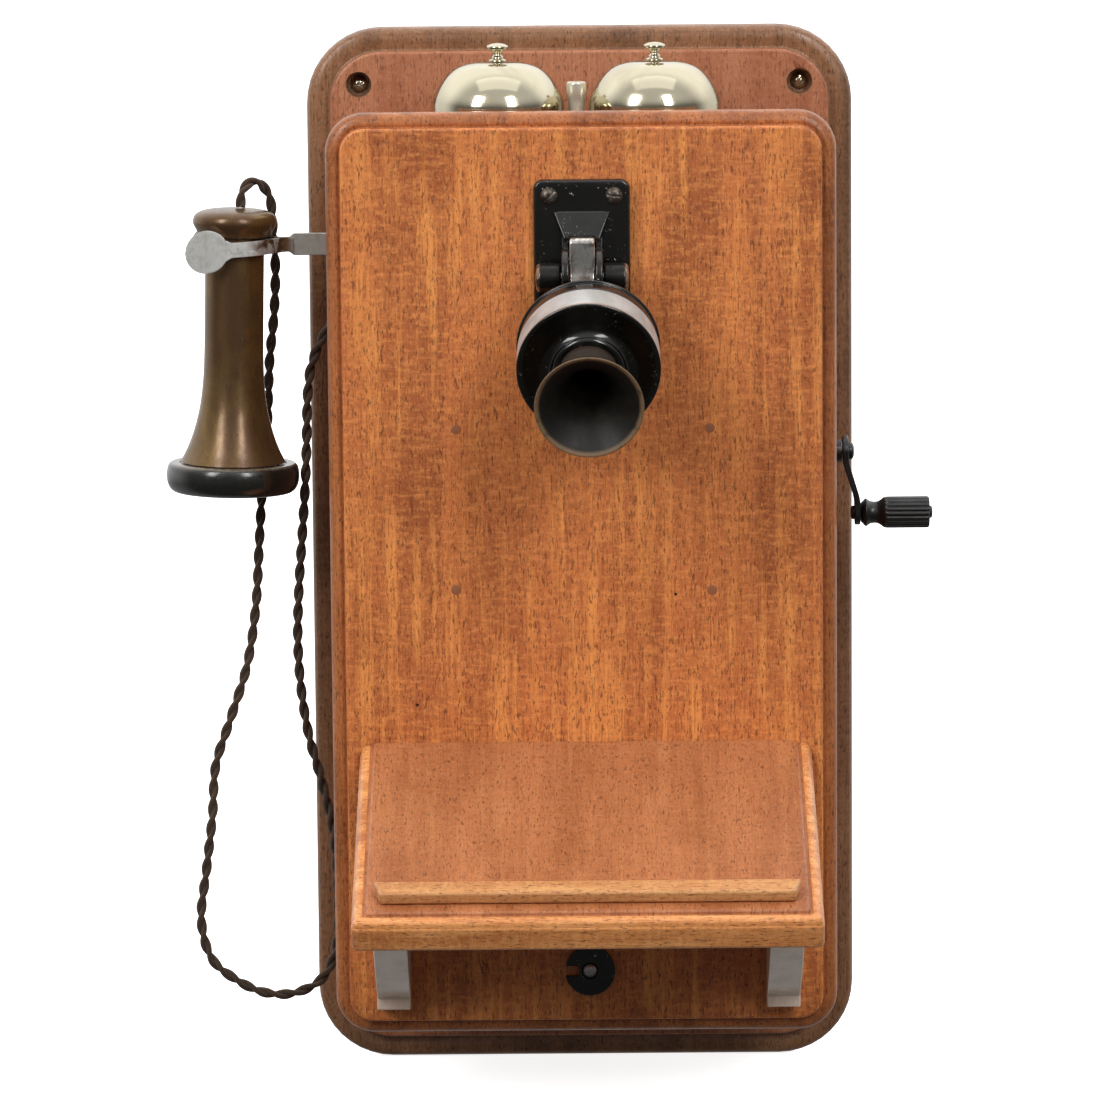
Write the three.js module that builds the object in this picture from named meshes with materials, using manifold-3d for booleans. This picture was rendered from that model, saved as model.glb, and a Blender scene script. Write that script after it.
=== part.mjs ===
// Wall crank telephone: a wooden wall set with a hand magneto, two gongs, an outside
// receiver on a fork hook, a tilting transmitter and a sloping writing shelf on its door.
// Units are millimetres. +X is to the right, +Y goes into the wall and +Z is up. The origin
// is the middle of the backboard's back face, which lies against the wall.

import * as THREE from 'three';
import { mergeVertices } from 'three/addons/utils/BufferGeometryUtils.js';
import Module from 'manifold-3d';

const wasm = await Module();
wasm.setup();

// ---------------------------------------------------------------- driving dimensions

const GAP = 0.3;

const BOARD = { width: 267, height: 514, thickness: 18, corner: 37, edge: 12, roll: 5, border: 11.6 };
const WALL_HOLE = { x: 107.6, z: 229.5, radius: 6, depth: 9, through: 2.6 };

const CASE = { half: 110, top: 209.5, bottom: -206, front: -113.7, back: -18.3, wall: 10 };
const DOOR = {
  left: -120.2, right: 120.6, top: 222.2, bottom: -219.4,
  back: -114, front: -130, lip: 8, border: 7, corner: 18.5,
};

const GONG = { x: -1.5, apart: 75, y: -75, rim: 218, height: 25, radius: 31.7, wall: 1.8, hole: 2.6 };
const CLAPPER = { top: 233.5, radius: 4.7, pivot: 152 };

const CRANK = { y: -68, z: 53.8, throw: 30, armX: 125.7, gripX: 134.7, gripEnd: 167.8 };
const GEAR = { module: 1.25, teeth: 40, pinion: 10, x: 84, width: 5 };
const MAGNETO_SHELF = { top: -12, thickness: 9 };

const HOOK = { y: -80, z: 157.2, pivotX: -88, height: 10.6, prong: 7, thickness: 2 };
const RECEIVER = { x: -165.6, y: -80, seat: 161.6, lean: THREE.MathUtils.degToRad(1.3) };
const FORK = { centre: -166.2, inner: 15.7, flare: 17.6, discX: -178, discZ: 155.2, discRadius: 10.2 };

const SHELF = {
  x: 0.5, half: 107.4, slope: THREE.MathUtils.degToRad(21.5), back: -130.3, backZ: -76.8,
  length: 154.6, thickness: 16.2, roll: 5.3,
};
const LIP = { from: 130.8, width: 10.9, height: 6.4, half: 97.5 };
const BRACKET = { x: 1.1, apart: 92.9, width: 16, bottom: -204 };

const SEAT = { x: 0.5, half: 22.7, top: 191.1, bottom: 111, thickness: 5, corner: 4 };
const PIVOT = { y: -150, z: 146.4, cheek: 3.5, hub: 14.5, barrel: 6.8 };
const TRANSMITTER = {
  x: 3, y: -163, z: 116.2, pitch: THREE.MathUtils.degToRad(19), radius: 33.2, bandFrom: 9.9,
  faceFrom: 28, neckFrom: 30.3, length: 68,
};

const LOCK = { x: 1.8, z: -187.6, radius: 12, thickness: 3.5, camY: -105.5, camReach: 11.4 };
const HINGE = { x: 112.6, y: -111.4, upper: 150, lower: -150, length: 36, knuckle: 1.9, pin: 0.8 };

const CORD = { diameter: 4.8, sides: 8, steps: 64 };

// ---------------------------------------------------------------- finishes

function finish(color, roughness, metalness) {
  return new THREE.MeshStandardMaterial({ color, roughness, metalness });
}

const walnut = finish(0xb06f48, 0.45, 0);
const darkWood = finish(0x7d4526, 0.5, 0);
const paleWood = finish(0xbdb3ab, 0.4, 0);
const nickel = finish(0xc9c5b8, 0.25, 1);
const steel = finish(0x8d8a84, 0.4, 1);
const brass = finish(0x9a7b3c, 0.4, 1);
const bronze = finish(0x4b371e, 0.35, 0.8);
const japan = finish(0x16140f, 0.2, 0.1);
const ebonite = finish(0x1e1e19, 0.3, 0);
const magnetRed = finish(0x5a2018, 0.6, 0.2);
const winding = finish(0x2f4a35, 0.7, 0);
const braid = finish(0x463223, 0.9, 0);

// ---------------------------------------------------------------- geometry helpers

/** Vertex positions alone, merged, with faces that collapse to a line left out. */
function plainMesh(geometry) {
  const plain = geometry.clone();
  Object.keys(plain.attributes).filter((name) => name !== 'position')
    .forEach((name) => plain.deleteAttribute(name));
  const merged = mergeVertices(plain, 1e-4);
  const corners = merged.index.array;
  const kept = [];
  for (let i = 0; i < corners.length; i += 3) {
    const [a, b, c] = [corners[i], corners[i + 1], corners[i + 2]];
    if (a !== b && b !== c && c !== a) kept.push(a, b, c);
  }
  return { points: merged.attributes.position.array, faces: kept };
}

/** Six times the signed volume: negative when the faces point inwards. */
function signedVolume({ points, faces }) {
  const corner = (i) => new THREE.Vector3().fromArray(points, 3 * i);
  let volume = 0;
  for (let i = 0; i < faces.length; i += 3) {
    const [a, b, c] = [corner(faces[i]), corner(faces[i + 1]), corner(faces[i + 2])];
    volume += a.dot(b.cross(c));
  }
  return volume;
}

function solid(geometry) {
  const mesh = plainMesh(geometry);
  if (signedVolume(mesh) < 0) mesh.faces.reverse();
  return new wasm.Manifold(new wasm.Mesh({
    numProp: 3,
    vertProperties: Float32Array.from(mesh.points),
    triVerts: Uint32Array.from(mesh.faces),
  }));
}

function surface(manifold) {
  const mesh = manifold.getMesh();
  const geometry = new THREE.BufferGeometry();
  geometry.setAttribute('position', new THREE.BufferAttribute(new Float32Array(mesh.vertProperties), 3));
  geometry.setIndex(new THREE.BufferAttribute(new Uint32Array(mesh.triVerts), 1));
  geometry.computeVertexNormals();
  return geometry;
}

function join(first, ...others) {
  return others.reduce((whole, piece) => whole.add(solid(piece)), solid(first));
}

function cut(whole, ...tools) {
  return tools.reduce((rest, tool) => rest.subtract(solid(tool)), whole);
}

function box([x0, x1], [y0, y1], [z0, z1]) {
  return new THREE.BoxGeometry(x1 - x0, y1 - y0, z1 - z0)
    .translate((x0 + x1) / 2, (y0 + y1) / 2, (z0 + z1) / 2);
}

/** A cylinder between two points. */
function rod(from, to, radius, segments = 16) {
  const start = new THREE.Vector3(...from);
  const along = new THREE.Vector3(...to).sub(start);
  const turn = new THREE.Quaternion().setFromUnitVectors(
    new THREE.Vector3(0, 1, 0), along.clone().normalize());
  const middle = start.clone().addScaledVector(along, 0.5);
  return new THREE.CylinderGeometry(radius, radius, along.length(), segments)
    .applyQuaternion(turn).translate(middle.x, middle.y, middle.z);
}

/** A turned body: [radius, distance] pairs along the direction, from the origin given. */
function turned(profile, origin, direction, segments = 20) {
  const points = profile.map(([radius, along]) => new THREE.Vector2(radius, along));
  const turn = new THREE.Quaternion().setFromUnitVectors(
    new THREE.Vector3(0, 1, 0), new THREE.Vector3(...direction).normalize());
  return new THREE.LatheGeometry(points, segments).applyQuaternion(turn).translate(...origin);
}

/** Points along a circular arc of a turned profile, angles in degrees. */
function arc(centre, radius, from, to, steps) {
  return Array.from({ length: steps + 1 }, (_, i) => {
    const angle = THREE.MathUtils.degToRad(from + (to - from) * i / steps);
    return [centre[0] + radius * Math.cos(angle), centre[1] + radius * Math.sin(angle)];
  });
}

function outline(points) {
  return new THREE.Shape(points.map(([a, b]) => new THREE.Vector2(a, b)));
}

function roundedRectangle(x0, x1, z0, z1, radius) {
  const shape = new THREE.Shape();
  shape.moveTo(x0 + radius, z0);
  shape.lineTo(x1 - radius, z0);
  shape.absarc(x1 - radius, z0 + radius, radius, -Math.PI / 2, 0);
  shape.lineTo(x1, z1 - radius);
  shape.absarc(x1 - radius, z1 - radius, radius, 0, Math.PI / 2);
  shape.lineTo(x0 + radius, z1);
  shape.absarc(x0 + radius, z1 - radius, radius, Math.PI / 2, Math.PI);
  shape.lineTo(x0, z0 + radius);
  shape.absarc(x0 + radius, z0 + radius, radius, Math.PI, 1.5 * Math.PI);
  return shape;
}

/** Extrudes a shape drawn in X and Z, from yFront back to yBack. */
function acrossY(shape, yFront, yBack, curveSegments = 5) {
  return new THREE.ExtrudeGeometry(shape, { depth: yBack - yFront, bevelEnabled: false, curveSegments })
    .rotateX(Math.PI / 2).translate(0, yBack, 0);
}

/** Extrudes a shape drawn in Y and Z, from x0 to x1. */
function acrossX(shape, x0, x1, curveSegments = 6) {
  const turn = new THREE.Matrix4().makeBasis(
    new THREE.Vector3(0, 1, 0), new THREE.Vector3(0, 0, 1), new THREE.Vector3(1, 0, 0));
  return new THREE.ExtrudeGeometry(shape, { depth: x1 - x0, bevelEnabled: false, curveSegments })
    .applyMatrix4(turn).translate(x0, 0, 0);
}

/** A board with a rounded front edge: bevelled at the front, trimmed flat at the back. */
function boardSlab(shape, yFront, yBack, bevel) {
  const depth = yBack - yFront;
  const slab = new THREE.ExtrudeGeometry(shape, {
    depth, bevelThickness: bevel, bevelSize: bevel, bevelOffset: -bevel, bevelSegments: 2, curveSegments: 5,
  }).rotateX(Math.PI / 2).translate(0, yBack + bevel, 0);
  const reach = 400;
  return cut(solid(slab), box([-reach, reach], [yBack, yBack + 4 * bevel], [-reach, reach]));
}

const telephone = new THREE.Group();

function add(parent, name, piece, material) {
  const geometry = surface(piece instanceof THREE.BufferGeometry ? solid(piece) : piece);
  const mesh = new THREE.Mesh(geometry, material);
  mesh.name = name;
  parent.add(mesh);
}

/** A domed or flat slotted screw head with its shank, from the face it seats on. */
function slottedScrew(seat, direction, headRadius, headHeight, shankRadius, shankLength) {
  const screw = turned([
    [0, -shankLength], [shankRadius, -shankLength], [shankRadius, 0], [headRadius, 0],
    [headRadius * 0.85, headHeight * 0.65], [0, headHeight],
  ], seat, direction, 12);
  const along = new THREE.Vector3(...direction).normalize();
  const slotCentre = new THREE.Vector3(...seat).addScaledVector(along, headHeight);
  const slot = new THREE.BoxGeometry(headRadius * 3, headHeight, headRadius * 0.24)
    .rotateY(Math.PI / 4).translate(slotCentre.x, slotCentre.y, slotCentre.z);
  return cut(solid(screw), slot);
}

// ---------------------------------------------------------------- backboard and case

function backboard() {
  const { width, height, thickness, corner, edge, roll, border } = BOARD;
  const [w, h] = [width / 2, height / 2];
  const base = boardSlab(roundedRectangle(-w, w, -h, h, corner), -edge, 0, roll);
  const field = boardSlab(
    roundedRectangle(-w + border, w - border, -h + border, h - border, corner - border - 6), -thickness, -2, 1.5);
  let board = base.add(field);
  for (const side of [-1, 1]) {
    const centre = side * WALL_HOLE.x;
    board = cut(board,
      rod([centre, -thickness - 1, WALL_HOLE.z], [centre, WALL_HOLE.depth - thickness, WALL_HOLE.z],
        WALL_HOLE.radius),
      rod([centre, -thickness, WALL_HOLE.z], [centre, 1, WALL_HOLE.z], WALL_HOLE.through, 12));
    const name = side < 0 ? 'wall_screw_left' : 'wall_screw_right';
    const seat = [centre, WALL_HOLE.depth - thickness - GAP, WALL_HOLE.z];
    add(telephone, name, slottedScrew(seat, [0, -1, 0], 3.9, 3, 2.1, 8), nickel);
  }
  add(telephone, 'backboard', board, walnut);
}

function caseBoards() {
  const { half, top, bottom, front, back, wall } = CASE;
  const depth = [front, back];
  const inside = [-half + wall + GAP, half - wall - GAP];
  const hookSlot = box([-half - 1, -half + wall + 1], [HOOK.y - 2.6, HOOK.y + 2.6], [HOOK.z - 8, HOOK.z + 12]);
  const bushHole = rod([half - wall - 1, CRANK.y, CRANK.z], [half + 1, CRANK.y, CRANK.z], 7.3);
  const cordHole = rod([-half - 1, HOOK.y, cordEntry()[2]], [-half + wall + 1, HOOK.y, cordEntry()[2]], 4.3, 16);
  const side = (x0, x1) => solid(box([x0, x1], depth, [bottom, top]));
  add(telephone, 'case_left_side', cut(side(-half, -half + wall), hookSlot, cordHole), darkWood);
  add(telephone, 'case_right_side', cut(side(half - wall, half), bushHole), darkWood);
  const clapperSlot = box([GONG.x - 8, GONG.x + 8], [GONG.y - 7, GONG.y + 7], [top - wall - 1, top + 1]);
  const lid = cut(solid(box(inside, depth, [top - wall, top])), clapperSlot);
  add(telephone, 'case_top', lid, darkWood);
  const camPocket = box([LOCK.x - 13, LOCK.x + 13], [LOCK.camY - 5, LOCK.camY + 2],
    [LOCK.z - LOCK.camReach - 1.5, bottom + wall + 1]);
  add(telephone, 'case_bottom', cut(solid(box(inside, depth, [bottom, bottom + wall])), camPocket), darkWood);
  const shelfTop = MAGNETO_SHELF.top;
  add(telephone, 'magneto_shelf',
    box(inside, [front + 6, back], [shelfTop - MAGNETO_SHELF.thickness, shelfTop]), darkWood);
}

// ---------------------------------------------------------------- gongs and ringer

function gongSet(name, x) {
  const { y, rim, height, radius, wall, hole } = GONG;
  const crown = rim + height;
  const shoulder = 15;
  const dome = (r, h) => arc([r - shoulder, h - shoulder], shoulder, 0, 76, 4);
  const outer = [[radius, 0], ...dome(radius, height), [hole, height]];
  const inner = [[hole, height - wall], ...dome(radius - wall, height - wall).reverse(), [radius - wall, 0]];
  add(telephone, `gong_${name}`,
    turned([...outer, ...inner, [radius, 0]], [x, y, rim], [0, 0, 1], 28), nickel);
  const base = CASE.top + GAP;
  const postTop = crown - wall - GAP - base;
  add(telephone, `gong_post_${name}`, turned([
    [0, 0], [8, 0], [8, 2.5], [4.5, 4.5], [4.5, postTop], [2.5, postTop], [2.5, postTop - 9], [0, postTop - 9],
  ], [x, y, base], [0, 0, 1], 14), steel);
  const flange = crown + GAP;
  add(telephone, `gong_screw_${name}`, turned([
    [0, -9], [2.1, -9], [2.1, 0], [4.3, 0], [4.3, 1], [1.7, 4], [2.5, 5.6],
    [5.3, 6.6], [5.3, 7.6], [0, 8.9],
  ], [x, y, flange], [0, 0, 1], 14), nickel);
}

function ringer() {
  const { x, y } = GONG;
  const under = CASE.top - CASE.wall - GAP;
  const [left, right] = [x - 18, x + 18];
  const pivot = CLAPPER.pivot;
  const legs = [[y - 12, y - 9.5], [y + 9.5, y + 12]].map(([front, back]) =>
    box([x - 5, x + 5], [front, back], [pivot - 5, under]));
  const yoke = cut(join(box([x - 32, x + 32], [y - 12, y + 12], [under - 5, under]), ...legs),
    box([x - 6, x + 6], [y - 6, y + 6], [under - 6, under + 1]),
    rod([x, y - 14, pivot], [x, y + 14, pivot], 1.8, 12));
  add(telephone, 'ringer_frame', yoke, brass);
  for (const [name, centre] of [['left', left], ['right', right]]) {
    add(telephone, `ringer_coil_${name}`, turned([
      [0, 0], [4, 0], [4, 2], [10.5, 2], [10.5, 4], [9, 4], [9, 33], [10.5, 33], [10.5, 35], [0, 35],
    ], [centre, y, under - 5 - GAP - 35], [0, 0, 1], 14), winding);
  }
  const bar = join(box([x - 25, x + 25], [y - 5, y + 5], [pivot - 2, pivot + 2]),
    rod([x, y - 11.5, pivot], [x, y + 11.5, pivot], 1.5, 12));
  add(telephone, 'ringer_armature', bar, steel);
  const { top, radius } = CLAPPER;
  add(telephone, 'clapper', turned([
    [0, 0], [1.3, 0], [1.3, 60], [radius + 0.2, 62], [radius, top - pivot - 4.9],
    ...arc([radius - 2.5, top - pivot - 4.8], 2.5, 0, 90, 2), [0, top - pivot - 2.3],
  ], [x, y, pivot + 2 + GAP], [0, 0, 1], 14), nickel);
}

// ---------------------------------------------------------------- magneto and crank

function gearOutline(teeth) {
  const { module } = GEAR;
  const pitch = module * teeth / 2;
  const [tip, root] = [pitch + 0.9 * module, pitch - 1.25 * module];
  const step = 2 * Math.PI / teeth;
  const points = [];
  for (let tooth = 0; tooth < teeth; tooth += 1) {
    for (const [share, radius] of [[-0.3, root], [-0.13, tip], [0.13, tip], [0.3, root]]) {
      const angle = (tooth + share) * step;
      points.push([radius * Math.cos(angle), radius * Math.sin(angle)]);
    }
  }
  return points;
}

function gear(teeth, centre, turn, bore) {
  const points = gearOutline(teeth).map(([a, b]) => [
    centre[0] + a * Math.cos(turn) - b * Math.sin(turn), centre[1] + a * Math.sin(turn) + b * Math.cos(turn),
  ]);
  const blank = acrossX(outline(points), GEAR.x, GEAR.x + GEAR.width);
  if (!bore) return solid(blank);
  return cut(solid(blank), rod([GEAR.x - 1, ...centre], [GEAR.x + GEAR.width + 1, ...centre], bore, 16));
}

function magneto(rotor, crank) {
  const { y, z } = CRANK;
  const drop = GEAR.module * (GEAR.teeth + GEAR.pinion) / 2 + 0.15;
  const low = z - drop;
  const base = MAGNETO_SHELF.top + GAP;
  const ends = [[14, 17], [78, 81]].map((x) => box(x, [y - 17, y + 17], [base, z + 9]));
  const bores = [[low, 3.3], [z, 4.4]].map(([height, radius]) =>
    rod([10, y, height], [100, y, height], radius, 16));
  const frame = cut(join(box([8, 98], [y - 32, y + 32], [base, base + 4]), ...ends), ...bores);
  add(telephone, 'magneto_frame', frame, brass);

  const arch = new THREE.Shape();
  const [outer, thickness, foot, crown] = [29, 8.5, base + 4 + GAP, z + 12];
  arch.moveTo(y - outer, foot);
  arch.lineTo(y - outer + thickness, foot);
  arch.lineTo(y - outer + thickness, crown);
  arch.absarc(y, crown, outer - thickness, Math.PI, 0, true);
  arch.lineTo(y + outer - thickness, foot);
  arch.lineTo(y + outer, foot);
  arch.lineTo(y + outer, crown);
  arch.absarc(y, crown, outer, 0, Math.PI);
  const magnets = [[20, 37], [39, 56], [58, 75]].map(([x0, x1]) => acrossX(arch, x0, x1));
  const spacers = [[36.5, 39.5], [55.5, 58.5]].map(([x0, x1]) =>
    box([x0, x1], [y - outer + 2, y - outer + thickness - 2], [foot + 4, crown]));
  add(telephone, 'magneto_magnets', join(...magnets, ...spacers), magnetRed);

  const shuttle = turned([
    [0, 6], [3, 6], [3, 22], [13, 22], [13, 72], [3, 72], [3, 96], [0, 96],
  ], [0, y, low], [1, 0, 0], 16);
  const slots = [-1, 1].map((side) => box([21, 73], [y - 5, y + 5],
    side > 0 ? [low + 5, low + 14] : [low - 14, low - 5]));
  const pinion = gear(GEAR.pinion, [y, low], Math.PI / 2 + Math.PI / GEAR.pinion, 0);
  add(rotor, 'magneto_rotor', cut(solid(shuttle), ...slots).add(pinion), steel);

  add(crank, 'drive_gear', gear(GEAR.teeth, [y, z], -Math.PI / 2, 4.3), brass);
  add(crank, 'crank_shaft', turned([
    [0, 10], [4, 10], [4, 112.9], [5.5, 112.9], [5.5, 116], [4.9, 117], [4.9, 119], [5.5, 120],
    [5.5, CRANK.armX - GAP], [0, CRANK.armX - GAP],
  ], [0, y, z], [1, 0, 0], 14), steel);
  add(telephone, 'crank_bush', turned([
    [4.3, 98], [7, 98], [7, CASE.half + GAP], [9.5, CASE.half + GAP], [9, CASE.half + 2.3],
    [4.3, CASE.half + 2.3], [4.3, 98],
  ], [0, y, z], [1, 0, 0], 16), brass);
}

function crankHandle(crank, grip) {
  const { y, z, armX, gripX, gripEnd, throw: reach } = CRANK;
  const thick = 2.7;
  const [hub, end] = [7.4, 6];
  const tip = gripX - GAP - thick;
  const low = z - reach;
  const side = outline([
    [armX, z + hub], [armX, z - 5], [tip, low + 7], [tip, low - end],
    [tip + thick, low - end], [tip + thick, low + 7], [armX + thick + 0.4, z - 5], [armX + thick + 0.4, z + hub],
  ]);
  const face = new THREE.Shape();
  face.absarc(y, z, hub, 0, Math.PI);
  face.absarc(y, low, end, Math.PI, 2 * Math.PI);
  const strap = solid(acrossY(side, y - hub, y + hub)).intersect(solid(acrossX(face, armX - 1, gripX + 1, 7)));
  const arm = cut(strap, rod([tip - 1, y, low], [gripX, y, low], 2.5, 16));
  add(crank, 'crank_arm', arm, japan);

  const far = gripEnd - gripX;
  add(crank, 'grip_spindle', turned([
    [0, -5], [2.4, -5], [3.4, -4], [3.4, -3 - GAP], [2.2, -3 - GAP], [2.2, far + GAP], [3, far + GAP],
    [2.8, far + 1.4], [0, far + 1.8],
  ], [gripX, y, low], [1, 0, 0], 12), japan);
  add(grip, 'crank_grip', turned([
    [2.5, 0], [5, 0], [7, 2.4], [5.4, 4.4], [5.1, 7.2], [5.6, 9.2], [7.7, 11.6],
    [7.7, far - 0.6], [7.2, far], [2.5, far], [2.5, 0],
  ], [gripX, y, low], [1, 0, 0], 16), ebonite);
}

// ---------------------------------------------------------------- hook switch and receiver

function hookSwitch(hook) {
  const { y, z, pivotX, height, prong, thickness } = HOOK;
  const wallX = -CASE.half + CASE.wall + GAP;
  const cheek = [[y - 8, y - 6], [y + 6, y + 8]].map((span) => box([wallX, pivotX + 10], span, [z - 12, z + 12]));
  const bracket = cut(join(box([wallX, pivotX + 10], [y - 8, y + 8], [z - 14, z - 12]), ...cheek),
    rod([pivotX, y - 9, z], [pivotX, y + 9, z], 1.8, 12));
  add(telephone, 'hook_bracket', bracket, brass);

  const leaves = [6.2, 9.4, 12.6].map((rise) => box([pivotX + 14, pivotX + 52], [y - 3.5, y + 3.5],
    [z + rise, z + rise + 0.8]));
  const stack = box([pivotX + 40, pivotX + 52], [y - 4.5, y + 4.5], [z + 4, z + 16]);
  add(telephone, 'contact_springs', join(stack, ...leaves), brass);

  add(hook, 'hook_lever', forkLever(y, z, pivotX, height, prong, thickness), nickel);
}

/** The switch lever: a bar from inside the case that splits into two prongs ending in discs. */
function forkLever(y, z, pivotX, height, prong, thickness) {
  const { centre, inner, flare, discX, discZ, discRadius } = FORK;
  const neckX = -141;
  const bar = join(box([-137, pivotX + 26], [y - 1.5, y + 1.5], [z - height / 2, z + height / 2]),
    rod([pivotX, y - 7.5, z], [pivotX, y + 7.5, z], 1.5, 12),
    box([neckX - 1, -136.5], [y - 1.5, y + 1.5], [z - prong / 2, z + prong / 2]));
  const droop = (discZ - z) / (discX - neckX);
  const start = 35;
  const rim = arc([0, 0], inner + thickness / 2, start, 90, 4).map(([a, b]) => [centre + a, b]);
  const path = [[neckX + 1, 0.4], ...rim, [discX, flare + thickness / 2 + 0.2]];
  const curve = new THREE.CatmullRomCurve3(path.map(([a, b]) => new THREE.Vector3(a, b, 0)), false, 'centripetal');
  const count = 9;
  const inside = [];
  const outside = [];
  for (let i = 0; i <= count; i += 1) {
    const point = curve.getPoint(i / count);
    const tangent = curve.getTangent(i / count);
    inside.push([point.x + tangent.y * thickness / 2, point.y - tangent.x * thickness / 2]);
    outside.push([point.x - tangent.y * thickness / 2, point.y + tangent.x * thickness / 2]);
  }
  const plan = [...inside, ...outside.reverse()];
  return [-1, 1].reduce((lever, side) => {
    const strip = new THREE.ExtrudeGeometry(outline(plan.map(([a, b]) => [a, side * b])),
      { depth: prong, bevelEnabled: false }).translate(0, y, z - prong / 2);
    const shear = new THREE.Matrix4().set(1, 0, 0, 0, 0, 1, 0, 0, droop, 0, 1, -droop * neckX, 0, 0, 0, 1);
    strip.applyMatrix4(shear);
    const near = flare;
    const far = flare + thickness + 0.4;
    const disc = rod([discX, y + side * near, discZ], [discX, y + side * far, discZ], discRadius, 20);
    return lever.add(solid(strip)).add(solid(disc));
  }, bar);
}

/** Outer radius of the receiver's tube at each height below its seat. */
const RECEIVER_TUBE = [
  [14.2, -1], [14.2, -60], [14.8, -71], [16.3, -82], [18, -90], [20.2, -97.6], [22.6, -103.6], [25.4, -109],
];

function receiver() {
  const body = new THREE.Group();
  body.position.set(RECEIVER.x, RECEIVER.y, RECEIVER.seat);
  body.rotation.y = RECEIVER.lean;
  telephone.add(body);
  const up = [0, 0, 1];
  const base = [0, 0, 0];
  const capTop = -109.3;
  const capBottom = -123.6;
  const wall = 1.6;
  const bore = RECEIVER_TUBE.map(([radius, along]) => [radius - wall, along]);
  bore[0][1] = -3;
  add(body, 'receiver_shell', turned([
    [0, -1], ...RECEIVER_TUBE, ...bore.reverse(), [0, -3],
  ], base, up), bronze);
  add(body, 'receiver_head', turned([
    [0, -1 + GAP], [16.6, -1 + GAP], [17.4, 0.6], [18, 2], [19.4, 4.2], [20.3, 6.8], [19.6, 9.2],
    [17, 11.4], [11, 12.8], [0, 13.2],
  ], base, up, 22), bronze);
  add(body, 'receiver_earcap', turned([
    [23, capTop], [29.6, capTop], ...arc([22.9, -116.4], 9, 48, -42, 4), [27, capBottom],
    [19, capBottom + 0.9], [5, capBottom + 3.6], [5, capBottom + 5.2], [22, capBottom + 4.2], [23, capTop],
  ], base, up, 28), ebonite);
  add(body, 'receiver_diaphragm', turned([
    [0, -111.6], [21, -111.6], [21, -110.8], [0, -110.8],
  ], base, up, 16), steel);
}

// ---------------------------------------------------------------- receiver cord

function cordEntry() {
  return [-CASE.half - 4.6, HOOK.y, 124];
}

/** The cord's route from the case side, down past the door's lip and up to the receiver. */
const CORD_ROUTE = [
  [-114.9, -80, 124], [-118.6, -80, 121.6], [-123.4, -80, 113.5], [-129.6, -80, 99.5],
  [-131.8, -80, 84], [-132.4, -80, 68], [-133.3, -80, 45], [-135.2, -80, 18], [-137.2, -80, -8],
  [-138.2, -80, -34], [-137, -80, -58], [-133.4, -80, -82], [-127.4, -80, -105], [-122.2, -80, -130],
  [-120.4, -80, -160], [-121.6, -80, -186], [-128.6, -80, -201.5], [-142, -79, -209],
  [-157, -78, -209], [-171.5, -77, -202.3], [-183, -75, -192], [-187.6, -74, -173], [-184.6, -73, -148],
  [-181.4, -72, -122], [-179.6, -69, -98], [-172.4, -66, -76], [-164, -62, -50], [-159.6, -56, -22],
  [-157.9, -50, 6], [-156.2, -45.4, 34], [-153.2, -47, 66], [-151.2, -54, 98], [-148.4, -59, 122],
  [-147.4, -60.6, 144], [-148.2, -62.4, 162], [-149, -64, 176], [-152.6, -69, 184.6], [-157.8, -75.4, 186.6],
  [-161.6, -79.4, 182.4], [-162.6, -80, 175.4],
];

function cord() {
  const curve = new THREE.CatmullRomCurve3(CORD_ROUTE.map((point) => new THREE.Vector3(...point)));
  const { diameter, sides, steps } = CORD;
  const section = outline(Array.from({ length: sides }, (_, i) => {
    const angle = 2 * Math.PI * i / sides;
    return [diameter / 2 * Math.cos(angle), diameter / 2 * Math.sin(angle)];
  }));
  add(telephone, 'receiver_cord',
    new THREE.ExtrudeGeometry(section, { steps, extrudePath: curve, bevelEnabled: false }), braid);
  const [, y, z] = cordEntry();
  add(telephone, 'cord_bush', turned([
    [2.7, -8], [4, -8], [4, GAP], [5.6, GAP], [5.4, 2.4], [4.2, 4], [2.7, 4], [2.7, -8],
  ], [-CASE.half, y, z], [-1, 0, 0], 12), ebonite);
}

// ---------------------------------------------------------------- door and writing shelf

function doorPanel(door) {
  const { left, right, top, bottom, back, front, lip, border, corner } = DOOR;
  const rim = boardSlab(roundedRectangle(left, right, bottom, top, corner), back - lip - 3, back, 2.5);
  const field = boardSlab(roundedRectangle(left + border, right - border, bottom + border, top - border,
    corner - 6), front, back - 2, 1.2);
  const shank = rod([LOCK.x, front - 1, LOCK.z], [LOCK.x, back + 1, LOCK.z], 3.3, 16);
  add(door, 'door_panel', cut(rim.add(field), shank), walnut);
}

/** Places shelf coordinates (x, distance down the slope, height above it) in the telephone. */
function onSlope() {
  const { slope, back, backZ, x } = SHELF;
  const down = new THREE.Vector3(0, -Math.cos(slope), -Math.sin(slope));
  const up = new THREE.Vector3(0, -Math.sin(slope), Math.cos(slope));
  return new THREE.Matrix4().makeBasis(new THREE.Vector3(-1, 0, 0), down, up).setPosition(x, back, backZ);
}

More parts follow.
